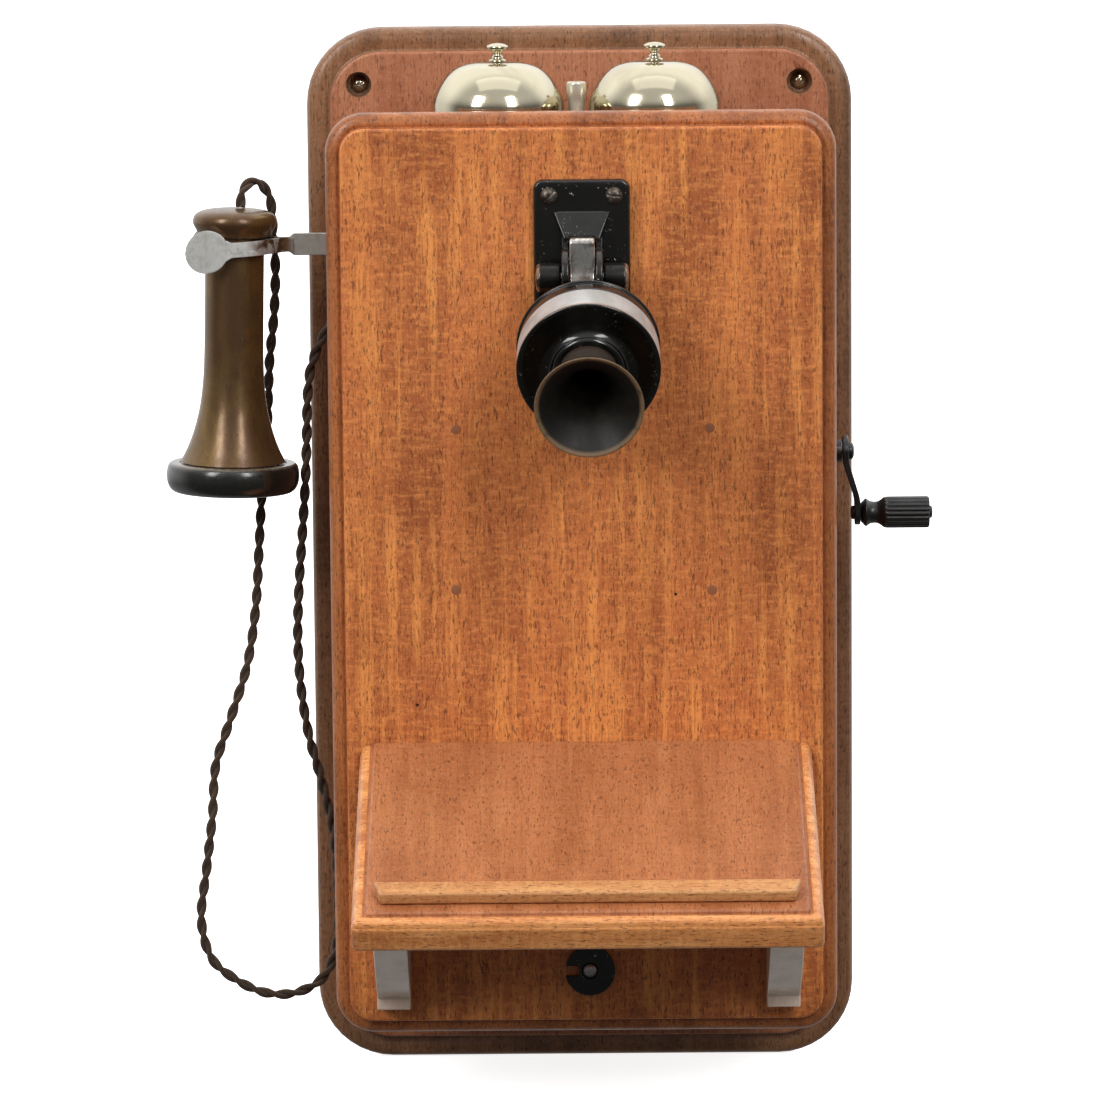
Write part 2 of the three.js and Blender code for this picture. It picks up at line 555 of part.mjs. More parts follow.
function writingShelf(door) {
  const { half, length, thickness, roll, back, x } = SHELF;
  const plan = roundedRectangle(-half, half, -30, length, roll + 0.5);
  const slab = new THREE.ExtrudeGeometry(plan, {
    depth: thickness, bevelThickness: roll, bevelSize: roll, bevelOffset: -roll, bevelSegments: 3, curveSegments: 3,
  }).translate(0, 0, -thickness - roll).applyMatrix4(onSlope());
  const underside = new THREE.BoxGeometry(4 * half, 4 * length, 30)
    .translate(0, 0, -thickness - 15).applyMatrix4(onSlope());
  const behind = box([x - 2 * half, x + 2 * half], [back, back + 90], [-200, 100]);
  const rearNicks = [-1, 1].map((side) => new THREE.BoxGeometry(14, 14, 60).rotateZ(Math.PI / 4)
    .translate(side * half, 0, 0).applyMatrix4(onSlope()));
  add(door, 'shelf_board', cut(solid(slab), underside, behind, ...rearNicks), walnut);

  const { from, width, height, half: reach } = LIP;
  const section = outline([
    [-reach, from], [reach, from], [reach - 3, from + width], [-reach + 3, from + width],
  ]);
  const strip = new THREE.ExtrudeGeometry(section, {
    depth: height - 1.2, bevelThickness: 1.2, bevelSize: 1.2, bevelOffset: -1.2, bevelSegments: 2,
  }).translate(0, 0, GAP).applyMatrix4(onSlope());
  const below = new THREE.BoxGeometry(3 * half, 3 * length, 10).translate(0, 0, GAP - 5).applyMatrix4(onSlope());
  add(door, 'shelf_lip', cut(solid(strip), below), walnut);
}

function shelfBrackets(door) {
  const { slope, back, backZ, thickness } = SHELF;
  const { width, bottom, apart, x } = BRACKET;
  const underside = (y) => backZ - (thickness + 2 * GAP) / Math.cos(slope) + (y - back) * Math.tan(slope);
  const [frontTop, foot] = [-224, back - 12];
  const side = new THREE.Shape();
  side.moveTo(back, bottom);
  side.lineTo(back, underside(back));
  side.lineTo(frontTop, underside(frontTop));
  side.quadraticCurveTo(-190, -158, foot, bottom + 5);
  side.lineTo(foot, bottom);
  for (const [name, centre] of [['left', x - apart], ['right', x + apart]]) {
    add(door, `shelf_bracket_${name}`,
      acrossX(side, centre - width / 2, centre + width / 2, 8), paleWood);
  }
}

function doorLock(lock) {
  const { x, z, radius, thickness, camY, camReach } = LOCK;
  const seat = DOOR.front - GAP;
  const notch = box([x - radius - 1, x - radius + 7], [seat - thickness - 1, seat + 1], [z - 2.4, z + 2.4]);
  const disc = join(
    rod([x, seat, z], [x, seat - thickness, z], radius, 32),
    rod([x, seat - 1, z], [x, camY, z], 3, 12),
    box([x - 3.5, x + camReach], [camY - 2.5, camY], [z - 3.5, z + 3.5]));
  const recess = rod([x, seat - thickness + 1, z], [x, seat - thickness - 1, z], 3.8, 16);
  add(lock, 'lock_disc', cut(disc, notch, recess), japan);
  add(lock, 'lock_screw', slottedScrew([x, seat - thickness + 1 - GAP, z], [0, -1, 0], 3.3, 1.8, 0.6, 0.01), steel);
}

function doorHinges(door) {
  const { x, y, length, knuckle, pin } = HINGE;
  const third = length / 3;
  for (const [name, middle] of [['upper', HINGE.upper], ['lower', HINGE.lower]]) {
    const [low, high] = [middle - length / 2, middle + length / 2];
    const plate = box([CASE.half + GAP, CASE.half + 1.3], [y + 2.4, y + 17], [low, high]);
    const ends = [[low, low + third], [high - third, high]].map(([from, to]) =>
      rod([x, y, from], [x, y, to], knuckle, 12));
    const webs = [[low, low + third], [high - third, high]].map((span) =>
      box([CASE.half + GAP, x - 0.6], [y + 0.6, y + 3], span));
    const core = rod([x, y, low], [x, y, high], pin, 8);
    add(telephone, `hinge_case_${name}`, join(plate, ...ends, ...webs, core), brass);
    const [from, to] = [low + third + GAP, high - third - GAP];
    const sleeve = cut(join(rod([x, y, from], [x, y, to], knuckle, 12),
      box([x, DOOR.right - 1.5], [y - knuckle, y - 0.7], [from, to]),
      box([x + 3.5, DOOR.right - 1.5], [y - knuckle, y - 0.7], [low, high])),
      rod([x, y, low], [x, y, high], pin + 0.35, 8));
    add(door, `hinge_door_${name}`, sleeve, brass);
  }
}

// ---------------------------------------------------------------- transmitter

function transmitterSeat(door) {
  const { x, half, top, bottom, thickness, corner } = SEAT;
  const back = DOOR.front - GAP;
  const front = back - thickness;
  const { y, z, cheek, hub } = PIVOT;
  const plate = boardSlab(roundedRectangle(x - half, x + half, bottom, top, corner), front, back, 1.5);
  const boss = new THREE.ExtrudeGeometry(outline([
    [x - 12.5, top - 16], [x + 12.5, top - 16], [x + 9.6, top - 26], [x + 9.6, bottom + 14],
    [x - 9.6, bottom + 14], [x - 9.6, top - 26],
  ]), { depth: 8, bevelEnabled: false }).rotateX(Math.PI / 2).translate(0, back - 1, 0);
  const ramp = box([x - 20, x + 20], [-30, 0], [0, 30]).rotateX(-0.62).translate(0, front - 1.2, top - 15.4);
  const slotHalf = 6.1;
  const lugs = [[x - slotHalf - cheek, x - slotHalf], [x + slotHalf, x + slotHalf + cheek]].map(([x0, x1]) => {
    const ear = new THREE.Shape();
    ear.moveTo(front + 1, z - hub - 4);
    ear.lineTo(front + 1, z + hub + 6);
    ear.lineTo(y - 2, z + hub);
    ear.absarc(y, z, hub, Math.PI / 2, 1.5 * Math.PI);
    return acrossX(ear, x0, x1);
  });
  const throat = box([x - slotHalf, x + slotHalf], [y - 30, front], [bottom + 10, z + hub + 5.5]);
  const bolt = rod([x - 30, y, z], [x + 30, y, z], 2.8, 16);
  const holes = screwPlaces().map(([sx, sz]) => rod([sx, back + 1, sz], [sx, front - 5, sz], 2.3, 12));
  const body = cut(plate.add(cut(solid(boss), ramp)), throat);
  add(door, 'transmitter_bracket', cut(body.add(solid(lugs[0])).add(solid(lugs[1])), bolt, ...holes), japan);
  screwPlaces().forEach(([sx, sz], i) => {
    add(door, `bracket_screw_${i + 1}`,
      slottedScrew([sx, front - GAP, sz], [0, -1, 0], 4.1, 2.4, 2, thickness - 1), steel);
  });
  const nut = slotHalf + cheek + GAP;
  add(door, 'pivot_bolt', join(rod([x - nut, y, z], [x + nut, y, z], 2.5, 16),
    turned([[0, 0], [6, 0], [PIVOT.barrel, 0.8], [PIVOT.barrel, 10.2], [5.6, 11.6], [0, 12]],
      [x - nut, y, z], [-1, 0, 0], 16),
    turned([[0, 0], [6, 0], [PIVOT.barrel, 0.8], [PIVOT.barrel, 10.2], [5.6, 11.6], [0, 12]],
      [x + nut, y, z], [1, 0, 0], 16)), japan);
}

function screwPlaces() {
  const { x, top, bottom } = SEAT;
  const places = [];
  for (const z of [top - 7.6, bottom + 7.6]) {
    for (const side of [-1, 1]) places.push([x + side * 15.2, z]);
  }
  return places;
}

function transmitter(head) {
  const { pitch, radius, bandFrom, faceFrom, neckFrom, length } = TRANSMITTER;
  const axis = [0, -Math.cos(pitch), -Math.sin(pitch)];
  const centre = [TRANSMITTER.x, TRANSMITTER.y, TRANSMITTER.z];
  const rear = 10.5;
  const shell = 1.6;
  add(head, 'transmitter_back', turned([
    [0, 0], [radius - 1.5, 0], [radius + 0.3, 0.6], [radius + 0.3, 1.6], [radius - 0.6, 2.2],
    [radius - 0.6, bandFrom - 1], [radius - shell - 1, bandFrom - GAP], [radius - shell - 3, bandFrom - GAP],
    [radius - shell - 3, 3], [0, 3],
  ], centre, axis, 28), japan);
  add(head, 'transmitter_band', turned([
    [radius - shell - 1, bandFrom], [radius - 0.3, bandFrom], [radius, bandFrom + 0.8], [radius, faceFrom - 1.4],
    [radius + 0.3, faceFrom - 1.2], [radius + 0.3, faceFrom - GAP], [radius - shell - 1, faceFrom - GAP],
    [radius - shell - 1, bandFrom],
  ], centre, axis, 28), nickel);
  const dish = arc([20.5, neckFrom + 0.6], 6, 290, 190, 3);
  add(head, 'transmitter_face', turned([
    [8, faceFrom - 4], [radius - 2.8 - GAP, faceFrom - 4], [radius - 2.8 - GAP, faceFrom], [radius - 0.5, faceFrom],
    [radius - 0.8, faceFrom + 0.9], [26.5, faceFrom - 2], ...dish, [14.4, neckFrom], [9.6, neckFrom],
    [9.6, neckFrom - 4], [8, neckFrom - 4], [8, faceFrom - 4],
  ], centre, axis, 28), japan);
  const start = neckFrom + GAP;
  add(head, 'mouthpiece', turned([
    [6.6, start - 4], [9.2, start - 4], [9.2, start], [13.8, start], [13.4, start + 3], [11, start + 6],
    [12, start + 17], [15.4, start + 25], [20.4, start + 32], [25.2, length], [23.7, length],
    [19, start + 32.2], [13.8, start + 25], [10.4, start + 17], [8, start + 5], [6.6, start - 4],
  ], centre, axis, 24), ebonite);

  const { y, z, hub } = PIVOT;
  const width = 5.9;
  const face = new THREE.Vector2(centre[1] - axis[1] * GAP, centre[2] - axis[2] * GAP);
  const along = new THREE.Vector2(-Math.sin(pitch), Math.cos(pitch));
  const back = new THREE.Vector2(Math.cos(pitch), Math.sin(pitch));
  const place = (s, t) => [face.x + along.x * s + back.x * t, face.y + along.y * s + back.y * t];
  const lever = outline([
    place(-9, 0), place(16, 0), [y - hub + 0.6, z - 3], [y - 4, z - hub + 1], [y + 8, z - hub + 3],
    place(-3, rear), place(-9, 6),
  ]);
  const arm = join(
    acrossX(lever, SEAT.x - width, SEAT.x + width),
    rod([SEAT.x - width, y, z], [SEAT.x + width, y, z], hub - 0.2, 20),
    turned([[0, -GAP], [12, -GAP], [12, -3], [0, -3]], centre, axis, 16));
  add(head, 'transmitter_arm', cut(arm, rod([-20, y, z], [20, y, z], 2.9, 16)), nickel);
}

// ---------------------------------------------------------------- induction coil

function inductionCoil() {
  const floor = CASE.bottom + CASE.wall + GAP;
  const middle = floor + 16;
  const coil = turned([[0, -42], [9.5, -42], [9.5, 42], [0, 42]], [-20, -46, middle], [1, 0, 0], 16);
  const cheeks = [[-68, -62], [22, 28]].map((x) => box(x, [-62, -30], [floor, floor + 32]));
  const core = rod([-66, -46, middle], [26, -46, middle], 4, 12);
  add(telephone, 'induction_coil', join(coil, ...cheeks, core), winding);
}

// ---------------------------------------------------------------- assembly

backboard();
caseBoards();
for (const [name, side] of [['left', -0.5], ['right', 0.5]]) gongSet(name, GONG.x + side * GONG.apart);
ringer();

const rotor = new THREE.Group();
const crank = new THREE.Group();
const grip = new THREE.Group();
const hook = new THREE.Group();
const door = new THREE.Group();
const lock = new THREE.Group();
const transmitterHead = new THREE.Group();
telephone.add(rotor, crank, hook, door);
crank.add(grip);
door.add(lock, transmitterHead);

magneto(rotor, crank);
crankHandle(crank, grip);
hookSwitch(hook);
receiver();
cord();
inductionCoil();
doorPanel(door);
writingShelf(door);
shelfBrackets(door);
doorHinges(door);
doorLock(lock);
transmitterSeat(door);
transmitter(transmitterHead);

export default telephone;
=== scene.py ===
"""The finished look of a wooden wall telephone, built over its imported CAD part.

Shapes are written in millimetres in the part's own frame: +X to the right, +Y into the wall,
+Z up, with the origin at the middle of the backboard's back face.
"""

import math

import bmesh
import bpy
from mathutils import Matrix, Vector
from mathutils.geometry import interpolate_bezier


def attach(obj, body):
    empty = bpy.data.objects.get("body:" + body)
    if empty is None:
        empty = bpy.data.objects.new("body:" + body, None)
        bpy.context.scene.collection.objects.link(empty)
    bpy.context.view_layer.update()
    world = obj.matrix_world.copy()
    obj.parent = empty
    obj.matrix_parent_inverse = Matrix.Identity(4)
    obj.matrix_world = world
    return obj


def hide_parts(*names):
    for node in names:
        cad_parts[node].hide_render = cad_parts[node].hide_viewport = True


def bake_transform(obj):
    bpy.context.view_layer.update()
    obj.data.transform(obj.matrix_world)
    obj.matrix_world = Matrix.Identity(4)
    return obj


MM = 0.001

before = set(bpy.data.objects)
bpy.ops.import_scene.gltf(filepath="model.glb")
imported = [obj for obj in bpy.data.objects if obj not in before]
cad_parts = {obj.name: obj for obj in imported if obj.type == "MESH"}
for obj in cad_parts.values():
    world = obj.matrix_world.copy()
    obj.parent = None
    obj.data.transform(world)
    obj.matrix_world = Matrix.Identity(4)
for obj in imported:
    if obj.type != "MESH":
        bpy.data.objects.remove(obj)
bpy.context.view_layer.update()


# ---------------------------------------------------------------- shapes

def bezier_corner(before, here, after, cut, steps):
    """Points that round off the corner at here, starting cut before it."""
    to_before, to_after = before - here, after - here
    start = here + to_before.normalized() * min(cut, to_before.length * 0.49)
    end = here + to_after.normalized() * min(cut, to_after.length * 0.49)
    a, m, b = (Vector((p[0], p[1], 0)) for p in (start, here, end))
    handles = (a + (m - a) * 0.6, b + (m - b) * 0.6)
    return [p.xy for p in interpolate_bezier(a, *handles, b, steps + 1)]


def rounded(corners, steps=5, closed=False):
    """A 2-D line through corners given as (a, b) or (a, b, cut), with each cut corner rounded off."""
    points = []
    count = len(corners)
    for i, corner in enumerate(corners):
        here = Vector(corner[:2])
        inner = closed or 0 < i < count - 1
        if len(corner) < 3 or not inner:
            points.append(here)
            continue
        before = Vector(corners[i - 1][:2])
        after = Vector(corners[(i + 1) % count][:2])
        points += bezier_corner(before, here, after, corner[2], steps)
    return points


def smooth_line(points, per_span):
    """A Catmull-Rom line through the points, with per_span steps between neighbours."""
    line = []
    for i in range(len(points) - 1):
        p0, p1 = points[max(i - 1, 0)], points[i]
        p2, p3 = points[i + 1], points[min(i + 2, len(points) - 1)]
        for step in range(per_span):
            t = step / per_span
            line.append(0.5 * (2 * p1 + (p2 - p0) * t + (2 * p0 - 5 * p1 + 4 * p2 - p3) * t * t
                               + (3 * p1 - p0 - 3 * p2 + p3) * t ** 3))
    return line + [points[-1].copy()]


def piece(name, vertices, faces, material, place=Matrix(), sharp=35):
    """A mesh object from vertices in millimetres, with outward normals and soft shading."""
    mesh = bpy.data.meshes.new(name)
    mesh.from_pydata([(place @ Vector(v)) * MM for v in vertices], [], faces)
    shape = bmesh.new()
    shape.from_mesh(mesh)
    bmesh.ops.recalc_face_normals(shape, faces=shape.faces)
    shape.to_mesh(mesh)
    shape.free()
    mesh.materials.append(material)
    mesh.shade_smooth()
    mesh.set_sharp_from_angle(angle=math.radians(sharp))
    made = bpy.data.objects.new(name, mesh)
    bpy.context.collection.objects.link(made)
    return made


def soften(made, width, segments=3, angle=35):
    """Rounds a piece's edges and keeps its flat faces flat-shaded."""
    bevel = made.modifiers.new("bevel", "BEVEL")
    bevel.width = width * MM
    bevel.segments = segments
    bevel.limit_method = "ANGLE"
    bevel.angle_limit = math.radians(angle)
    weighted = made.modifiers.new("normals", "WEIGHTED_NORMAL")
    weighted.keep_sharp = False
    return made


def apply_modifiers(made):
    """Bakes a piece's modifiers into its mesh."""
    evaluated = made.evaluated_get(bpy.context.evaluated_depsgraph_get())
    baked = bpy.data.meshes.new_from_object(evaluated)
    made.modifiers.clear()
    made.data = baked
    return made


def turn(name, profile, origin, axis, material, segments=96, sharp=35):
    """A turned piece: (radius, distance along the axis) points spun round the axis."""
    along = Vector(axis).normalized()
    across = Vector((0, 0, 1)) if abs(along.z) < 0.5 else Vector((1, 0, 0))
    across = (across - along * across.dot(along)).normalized()
    third = along.cross(across)
    vertices, rings = [], []
    closed = (Vector(profile[0]) - Vector(profile[-1])).length < 1e-6
    for radius, distance in profile[:-1] if closed else profile:
        centre = Vector(origin) + along * distance
        rings.append(range(len(vertices), len(vertices) + (segments if radius > 1e-6 else 1)))
        for i in range(len(rings[-1])):
            angle = 2 * math.pi * i / segments
            vertices.append(centre + (across * math.cos(angle) + third * math.sin(angle)) * radius)
    faces = []
    for first, second in zip(rings, rings[1:] + rings[:1] if closed else rings[1:]):
        faces += bridge(first, second)
    return piece(name, vertices, faces, material, sharp=sharp)


def bridge(first, second):
    """Faces that join two rings of vertices, where a ring may be a single point."""
    count = max(len(first), len(second))
    faces = []
    for i in range(count):
        j = (i + 1) % count
        corners = [first[i % len(first)], first[j % len(first)],
                   second[j % len(second)], second[i % len(second)]]
        face = list(dict.fromkeys(corners))
        if len(face) > 2:
            faces.append(face)
    return faces


def rounded_rectangle(low, high, radius, steps=10):
    """Corner-rounded rectangle as (a, b) points, anticlockwise from the lower right corner."""
    points = []
    centres = [(high[0] - radius, low[1] + radius), (high[0] - radius, high[1] - radius),
               (low[0] + radius, high[1] - radius), (low[0] + radius, low[1] + radius)]
    for quarter, (a, b) in enumerate(centres):
        for step in range(steps + 1):
            angle = math.pi / 2 * (quarter - 1 + step / steps)
            points.append((a + radius * math.cos(angle), b + radius * math.sin(angle)))
    return points


def moulded_board(name, low, high, corner, profile, place, material, edge=None, edge_rings=0):
    """A board with a moulded edge: profile is (inset, height) from the back face to the front."""
    vertices, rings = [], []
    for inset, height in profile:
        outline = rounded_rectangle((low[0] + inset, low[1] + inset), (high[0] - inset, high[1] - inset),
                                    max(corner - inset, 1.2))
        rings.append(range(len(vertices), len(vertices) + len(outline)))
        vertices += [(a, b, height) for a, b in outline]
    faces = [face for first, second in zip(rings, rings[1:]) for face in bridge(first, second)]
    faces += [list(reversed(rings[0])), list(rings[-1])]
    board = piece(name, vertices, faces, material, place)
    if edge:
        board.data.materials.append(edge)
        for face in board.data.polygons[:edge_rings * len(rings[0])]:
            face.material_index = 1
    return board


def slab(name, outline, low, high, place, material):
    """An outline of (a, b) points given thickness along the third axis of its place."""
    count = len(outline)
    vertices = [(p[0], p[1], height) for height in (low, high) for p in outline]
    faces = [list(range(count)), list(range(count, 2 * count))]
    faces += bridge(range(count), range(count, 2 * count))
    return piece(name, vertices, faces, material, place)


def tube(name, line, radius, material, sides=12, place=Matrix()):
    """A round strand along a line, with UVs: round it in U and millimetres along it in V."""
    normal = (line[1] - line[0]).orthogonal().normalized()
    vertices, faces, lengths = [], [], [0.0]
    for i, point in enumerate(line):
        tangent = (line[min(i + 1, len(line) - 1)] - line[max(i - 1, 0)]).normalized()
        normal = (normal - tangent * normal.dot(tangent)).normalized()
        side = tangent.cross(normal)
        for k in range(sides):
            angle = 2 * math.pi * k / sides
            vertices.append(point + (normal * math.cos(angle) + side * math.sin(angle)) * radius)
        if i:
            lengths.append(lengths[-1] + (point - line[i - 1]).length)
            faces += bridge(range((i - 1) * sides, i * sides), range(i * sides, (i + 1) * sides))
    faces += [list(range(sides)), list(range(len(vertices) - sides, len(vertices)))]
    made = piece(name, vertices, faces, material, place, sharp=60)
    layer = made.data.uv_layers.new(name="UVMap")
    for face in made.data.polygons:
        around = [made.data.loops[i].vertex_index % sides for i in face.loop_indices]
        wraps = 0 in around and sides - 1 in around and len(around) == 4
        for loop, k in zip(face.loop_indices, around):
            ring = made.data.loops[loop].vertex_index // sides
            layer.data[loop].uv = ((k + (sides if wraps and k == 0 else 0)) / sides, lengths[ring])
    return made


def join(name, *parts):
    """Several meshes made into one object."""
    bpy.ops.object.select_all(action="DESELECT")
    for part in parts:
        part.select_set(True)
    bpy.context.view_layer.objects.active = parts[0]
    bpy.ops.object.join()
    parts[0].name = name
    return parts[0]


def cut_out(made, *cutters):
    """Cuts the cutters' shapes out of a piece and deletes them."""
    for cutter in cutters:
        boolean = made.modifiers.new("cut", "BOOLEAN")
        boolean.operation = "DIFFERENCE"
        boolean.solver = "EXACT"
        boolean.object = cutter
    apply_modifiers(made)
    for cutter in cutters:
        bpy.data.objects.remove(cutter)
    return flatten(made)


def flatten(made, area=400):
    """Shades faces larger than the area, in square millimetres, as the flat planes they are."""
    for face in made.data.polygons:
        if face.area > area * MM * MM:
            face.use_smooth = False
    return made


def slice_off(made, point, normal):
    """Cuts a piece by a plane, in millimetres, drops the side the normal points to and closes it."""
    shape = bmesh.new()
    shape.from_mesh(made.data)
    everything = list(shape.verts) + list(shape.edges) + list(shape.faces)
    done = bmesh.ops.bisect_plane(shape, geom=everything, plane_co=Vector(point) * MM,
                                  plane_no=Vector(normal), clear_outer=True)
    rim = [e for e in done["geom_cut"] if isinstance(e, bmesh.types.BMEdge)]
    bmesh.ops.contextual_create(shape, geom=rim)
    bmesh.ops.recalc_face_normals(shape, faces=shape.faces)
    shape.to_mesh(made.data)
    shape.free()
    return made


FACING = Matrix(((1, 0, 0, 0), (0, 0, -1, 0), (0, 1, 0, 0), (0, 0, 0, 1)))
SIDEWAYS = Matrix(((0, 0, 1, 0), (1, 0, 0, 0), (0, 1, 0, 0), (0, 0, 0, 1)))


def belongs(made, body, slot, *nodes):
    """The piece rides on a body and stands for those CAD nodes. The slot argument is not used."""
    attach(made, body)
    if nodes:
        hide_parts(*nodes)
    return made


# ---------------------------------------------------------------- materials

def srgb(red, green, blue):
    """A linear colour from 0 to 255 display values."""
    def linear(value):
        value /= 255
        return value / 12.92 if value <= 0.04045 else ((value + 0.055) / 1.055) ** 2.4
    return (linear(red), linear(green), linear(blue), 1)


class Finish:
    """A node material and short calls that add nodes to it. Lengths are in millimetres."""

    def __init__(self, name, color=None, **settings):
        self.material = bpy.data.materials.new(name)
        self.material.use_nodes = True
        self.tree = self.material.node_tree
        self.shader = self.tree.nodes["Principled BSDF"]
        self.object = self.node("ShaderNodeTexCoord").outputs["Object"]
        if color:
            self.set("Base Color", color)
        for socket, value in settings.items():
            self.set(socket.replace("_", " "), value)

    def node(self, kind, **settings):
        made = self.tree.nodes.new(kind)
        for key, value in settings.items():
            setattr(made, key, value)
        return made

    def feed(self, socket, value):
        if isinstance(value, bpy.types.NodeSocket):
            self.tree.links.new(value, socket)
        else:
            socket.default_value = value

    def set(self, socket, value):
        self.feed(self.shader.inputs[socket], value)

    def place(self, scale, turn=(0, 0, 0), shift=(0, 0, 0), source=None):
        """Coordinates in millimetres times scale, so a small factor draws a pattern out long."""
        mapping = self.node("ShaderNodeMapping")
        self.feed(mapping.inputs["Vector"], source or self.object)
        mapping.inputs["Scale"].default_value = [1000 * s for s in scale]
        mapping.inputs["Rotation"].default_value = [math.radians(t) for t in turn]
        mapping.inputs["Location"].default_value = shift
        return mapping.outputs[0]

    def noise(self, vector, scale=1.0, detail=4.0, roughness=0.55, distortion=0.0):
        made = self.node("ShaderNodeTexNoise")
        for key, value in (("Vector", vector), ("Scale", scale), ("Detail", detail),
                           ("Roughness", roughness), ("Distortion", distortion)):
            self.feed(made.inputs[key], value)
        return made.outputs[0]

    def cells(self, vector, scale=1.0, feature="F1", output="Distance"):
        made = self.node("ShaderNodeTexVoronoi", feature=feature)
        self.feed(made.inputs["Vector"], vector)
        self.feed(made.inputs["Scale"], scale)
        return made.outputs[output]

    def band(self, value, low, high, to_low=0.0, to_high=1.0):
        """The value's share of the way from low to high, clamped."""
        made = self.node("ShaderNodeMapRange", interpolation_type="SMOOTHSTEP")
        for key, number in (("Value", value), ("From Min", low), ("From Max", high),
                            ("To Min", to_low), ("To Max", to_high)):
            self.feed(made.inputs[key], number)
        return made.outputs[0]

    def sum(self, operation, first, second):
        made = self.node("ShaderNodeMath", operation=operation)
        self.feed(made.inputs[0], first)
        self.feed(made.inputs[1], second)
        return made.outputs[0]

    def mix(self, share, first, second, blend="MIX"):
        made = self.node("ShaderNodeMix", data_type="RGBA", blend_type=blend)
        self.feed(made.inputs[0], share)
        self.feed(made.inputs[6], first)
        self.feed(made.inputs[7], second)
        return made.outputs[2]

    def along(self, point, axis, source=None):
        """How far each surface point lies along an axis from a point, in millimetres."""
        moved = self.node("ShaderNodeVectorMath", operation="SUBTRACT")
        self.feed(moved.inputs[0], source or self.object)
        moved.inputs[1].default_value = Vector(point) * MM
        dot = self.node("ShaderNodeVectorMath", operation="DOT_PRODUCT")
        self.feed(dot.inputs[0], moved.outputs[0])
        dot.inputs[1].default_value = Vector(axis).normalized() * 1000
        return dot.outputs["Value"]

    def relief(self, *layers):
        """Bumps the surface with (height, depth in millimetres) layers."""
        normal = None
        for height, depth in layers:
            made = self.node("ShaderNodeBump")
            made.inputs["Strength"].default_value = 1.0
            made.inputs["Distance"].default_value = depth * MM
            self.feed(made.inputs["Height"], height)
            if normal:
                self.feed(made.inputs["Normal"], normal)
            normal = made.outputs[0]
        self.set("Normal", normal)


def wood(name, pale, mid, dark, grain, seed, figure=1.0, gloss=0.42, holes=0.0):
    """Varnished mahogany. grain is 1 for each axis across the grain and 0 for the one along it."""
    finish = Finish(name, Specular_IOR_Level=0.4, Coat_Weight=0.08, Coat_Roughness=0.3)
    shift = (seed * 3.1, seed * 1.7, seed * 2.3)

    def grained(across, along, detail, roughness, distortion=0.0):
        scale = [across if axis else along for axis in grain]
        return finish.noise(finish.place(scale, shift=shift), 1.0, detail, roughness, distortion)

    bands = grained(0.06, 0.004, 3, 0.5, 0.3)
    stripes = grained(0.22, 0.012, 3, 0.55, 0.2)
    cloud = finish.noise(finish.place((0.018, 0.018, 0.018), shift=shift), 1.0, 4, 0.6)
    ripple = grained(0.11, 0.42, 5, 0.7, 0.3)
    speckle = grained(0.75, 0.5, 4, 0.75)
    fibres = grained(1.3, 0.06, 3, 0.6)
    pores = grained(1.25, 0.3, 3, 0.6)

    color = finish.mix(finish.band(bands, 0.36, 0.62), dark, mid)
    color = finish.mix(finish.band(cloud, 0.38, 0.66, 0.0, 0.6), color, mid)
    glow = finish.sum("MULTIPLY", finish.band(stripes, 0.44, 0.7), finish.band(cloud, 0.36, 0.6, 0.25, 0.9))
    color = finish.mix(finish.sum("MULTIPLY", glow, figure), color, pale)
    waves = finish.sum("MULTIPLY", finish.band(ripple, 0.44, 0.66), 0.5)
    color = finish.mix(finish.sum("MULTIPLY", waves, figure), color, pale)
    color = finish.mix(finish.band(speckle, 0.5, 0.72, 0.0, 0.5), color, pale)
    color = finish.mix(finish.band(speckle, 0.5, 0.3, 0.0, 0.55), color, dark)
    color = finish.mix(finish.band(fibres, 0.5, 0.72, 0.0, 0.7), color, dark)
    deep = [c * 0.4 for c in dark[:3]] + [1]
    opened = finish.band(pores, 0.56, 0.66)
    color = finish.mix(finish.sum("MULTIPLY", opened, 0.72), color, deep)
    layers = [(fibres, 0.04), (finish.sum("SUBTRACT", 1.0, opened), 0.07)]
    if holes:
        spots = finish.place((0.055, 0.055, 0.055), shift=shift)
        split = finish.node("ShaderNodeSeparateColor")
        finish.feed(split.inputs[0], finish.cells(spots, output="Color"))
        near = finish.band(finish.cells(spots), 0.045 * holes, 0.028 * holes)
        bored = finish.sum("MULTIPLY", near, finish.band(split.outputs[0], 0.5, 0.55))
        color = finish.mix(bored, color, srgb(30, 14, 8))
        layers.append((finish.sum("SUBTRACT", 1.0, bored), 0.4))
    finish.set("Base Color", color)
    finish.set("Roughness", finish.band(stripes, 0.3, 0.7, gloss + 0.08, gloss - 0.04))
    finish.relief(*layers)
    return finish.material


def scuffed_metal(name, color, stain, rough, metallic=1.0, size=0.08, amount=0.5, depth=0.02):
    """Metal with tarnish clouds, fine scratches and small pits."""
    finish = Finish(name, Metallic=metallic)
    clouds = finish.noise(finish.place((size, size, size)), 1.0, 6, 0.65, 0.6)
    scratches = finish.noise(finish.place((2.2, 0.3, 0.5), turn=(20, 35, 50)), 1.0, 3, 0.6)
    pits = finish.cells(finish.place((0.6, 0.6, 0.6)), 1.0)
    tarnish = finish.band(clouds, 0.42, 0.68, 0.0, amount)
    finish.set("Base Color", finish.mix(tarnish, color, stain))
    finish.set("Roughness", finish.sum("ADD", finish.band(clouds, 0.35, 0.7, rough, rough * 1.9),
                                       finish.band(scratches, 0.55, 0.75, 0.0, 0.08)))
    finish.relief((scratches, depth), (finish.band(pits, 0.02, 0.12), depth * 1.5))
    return finish.material


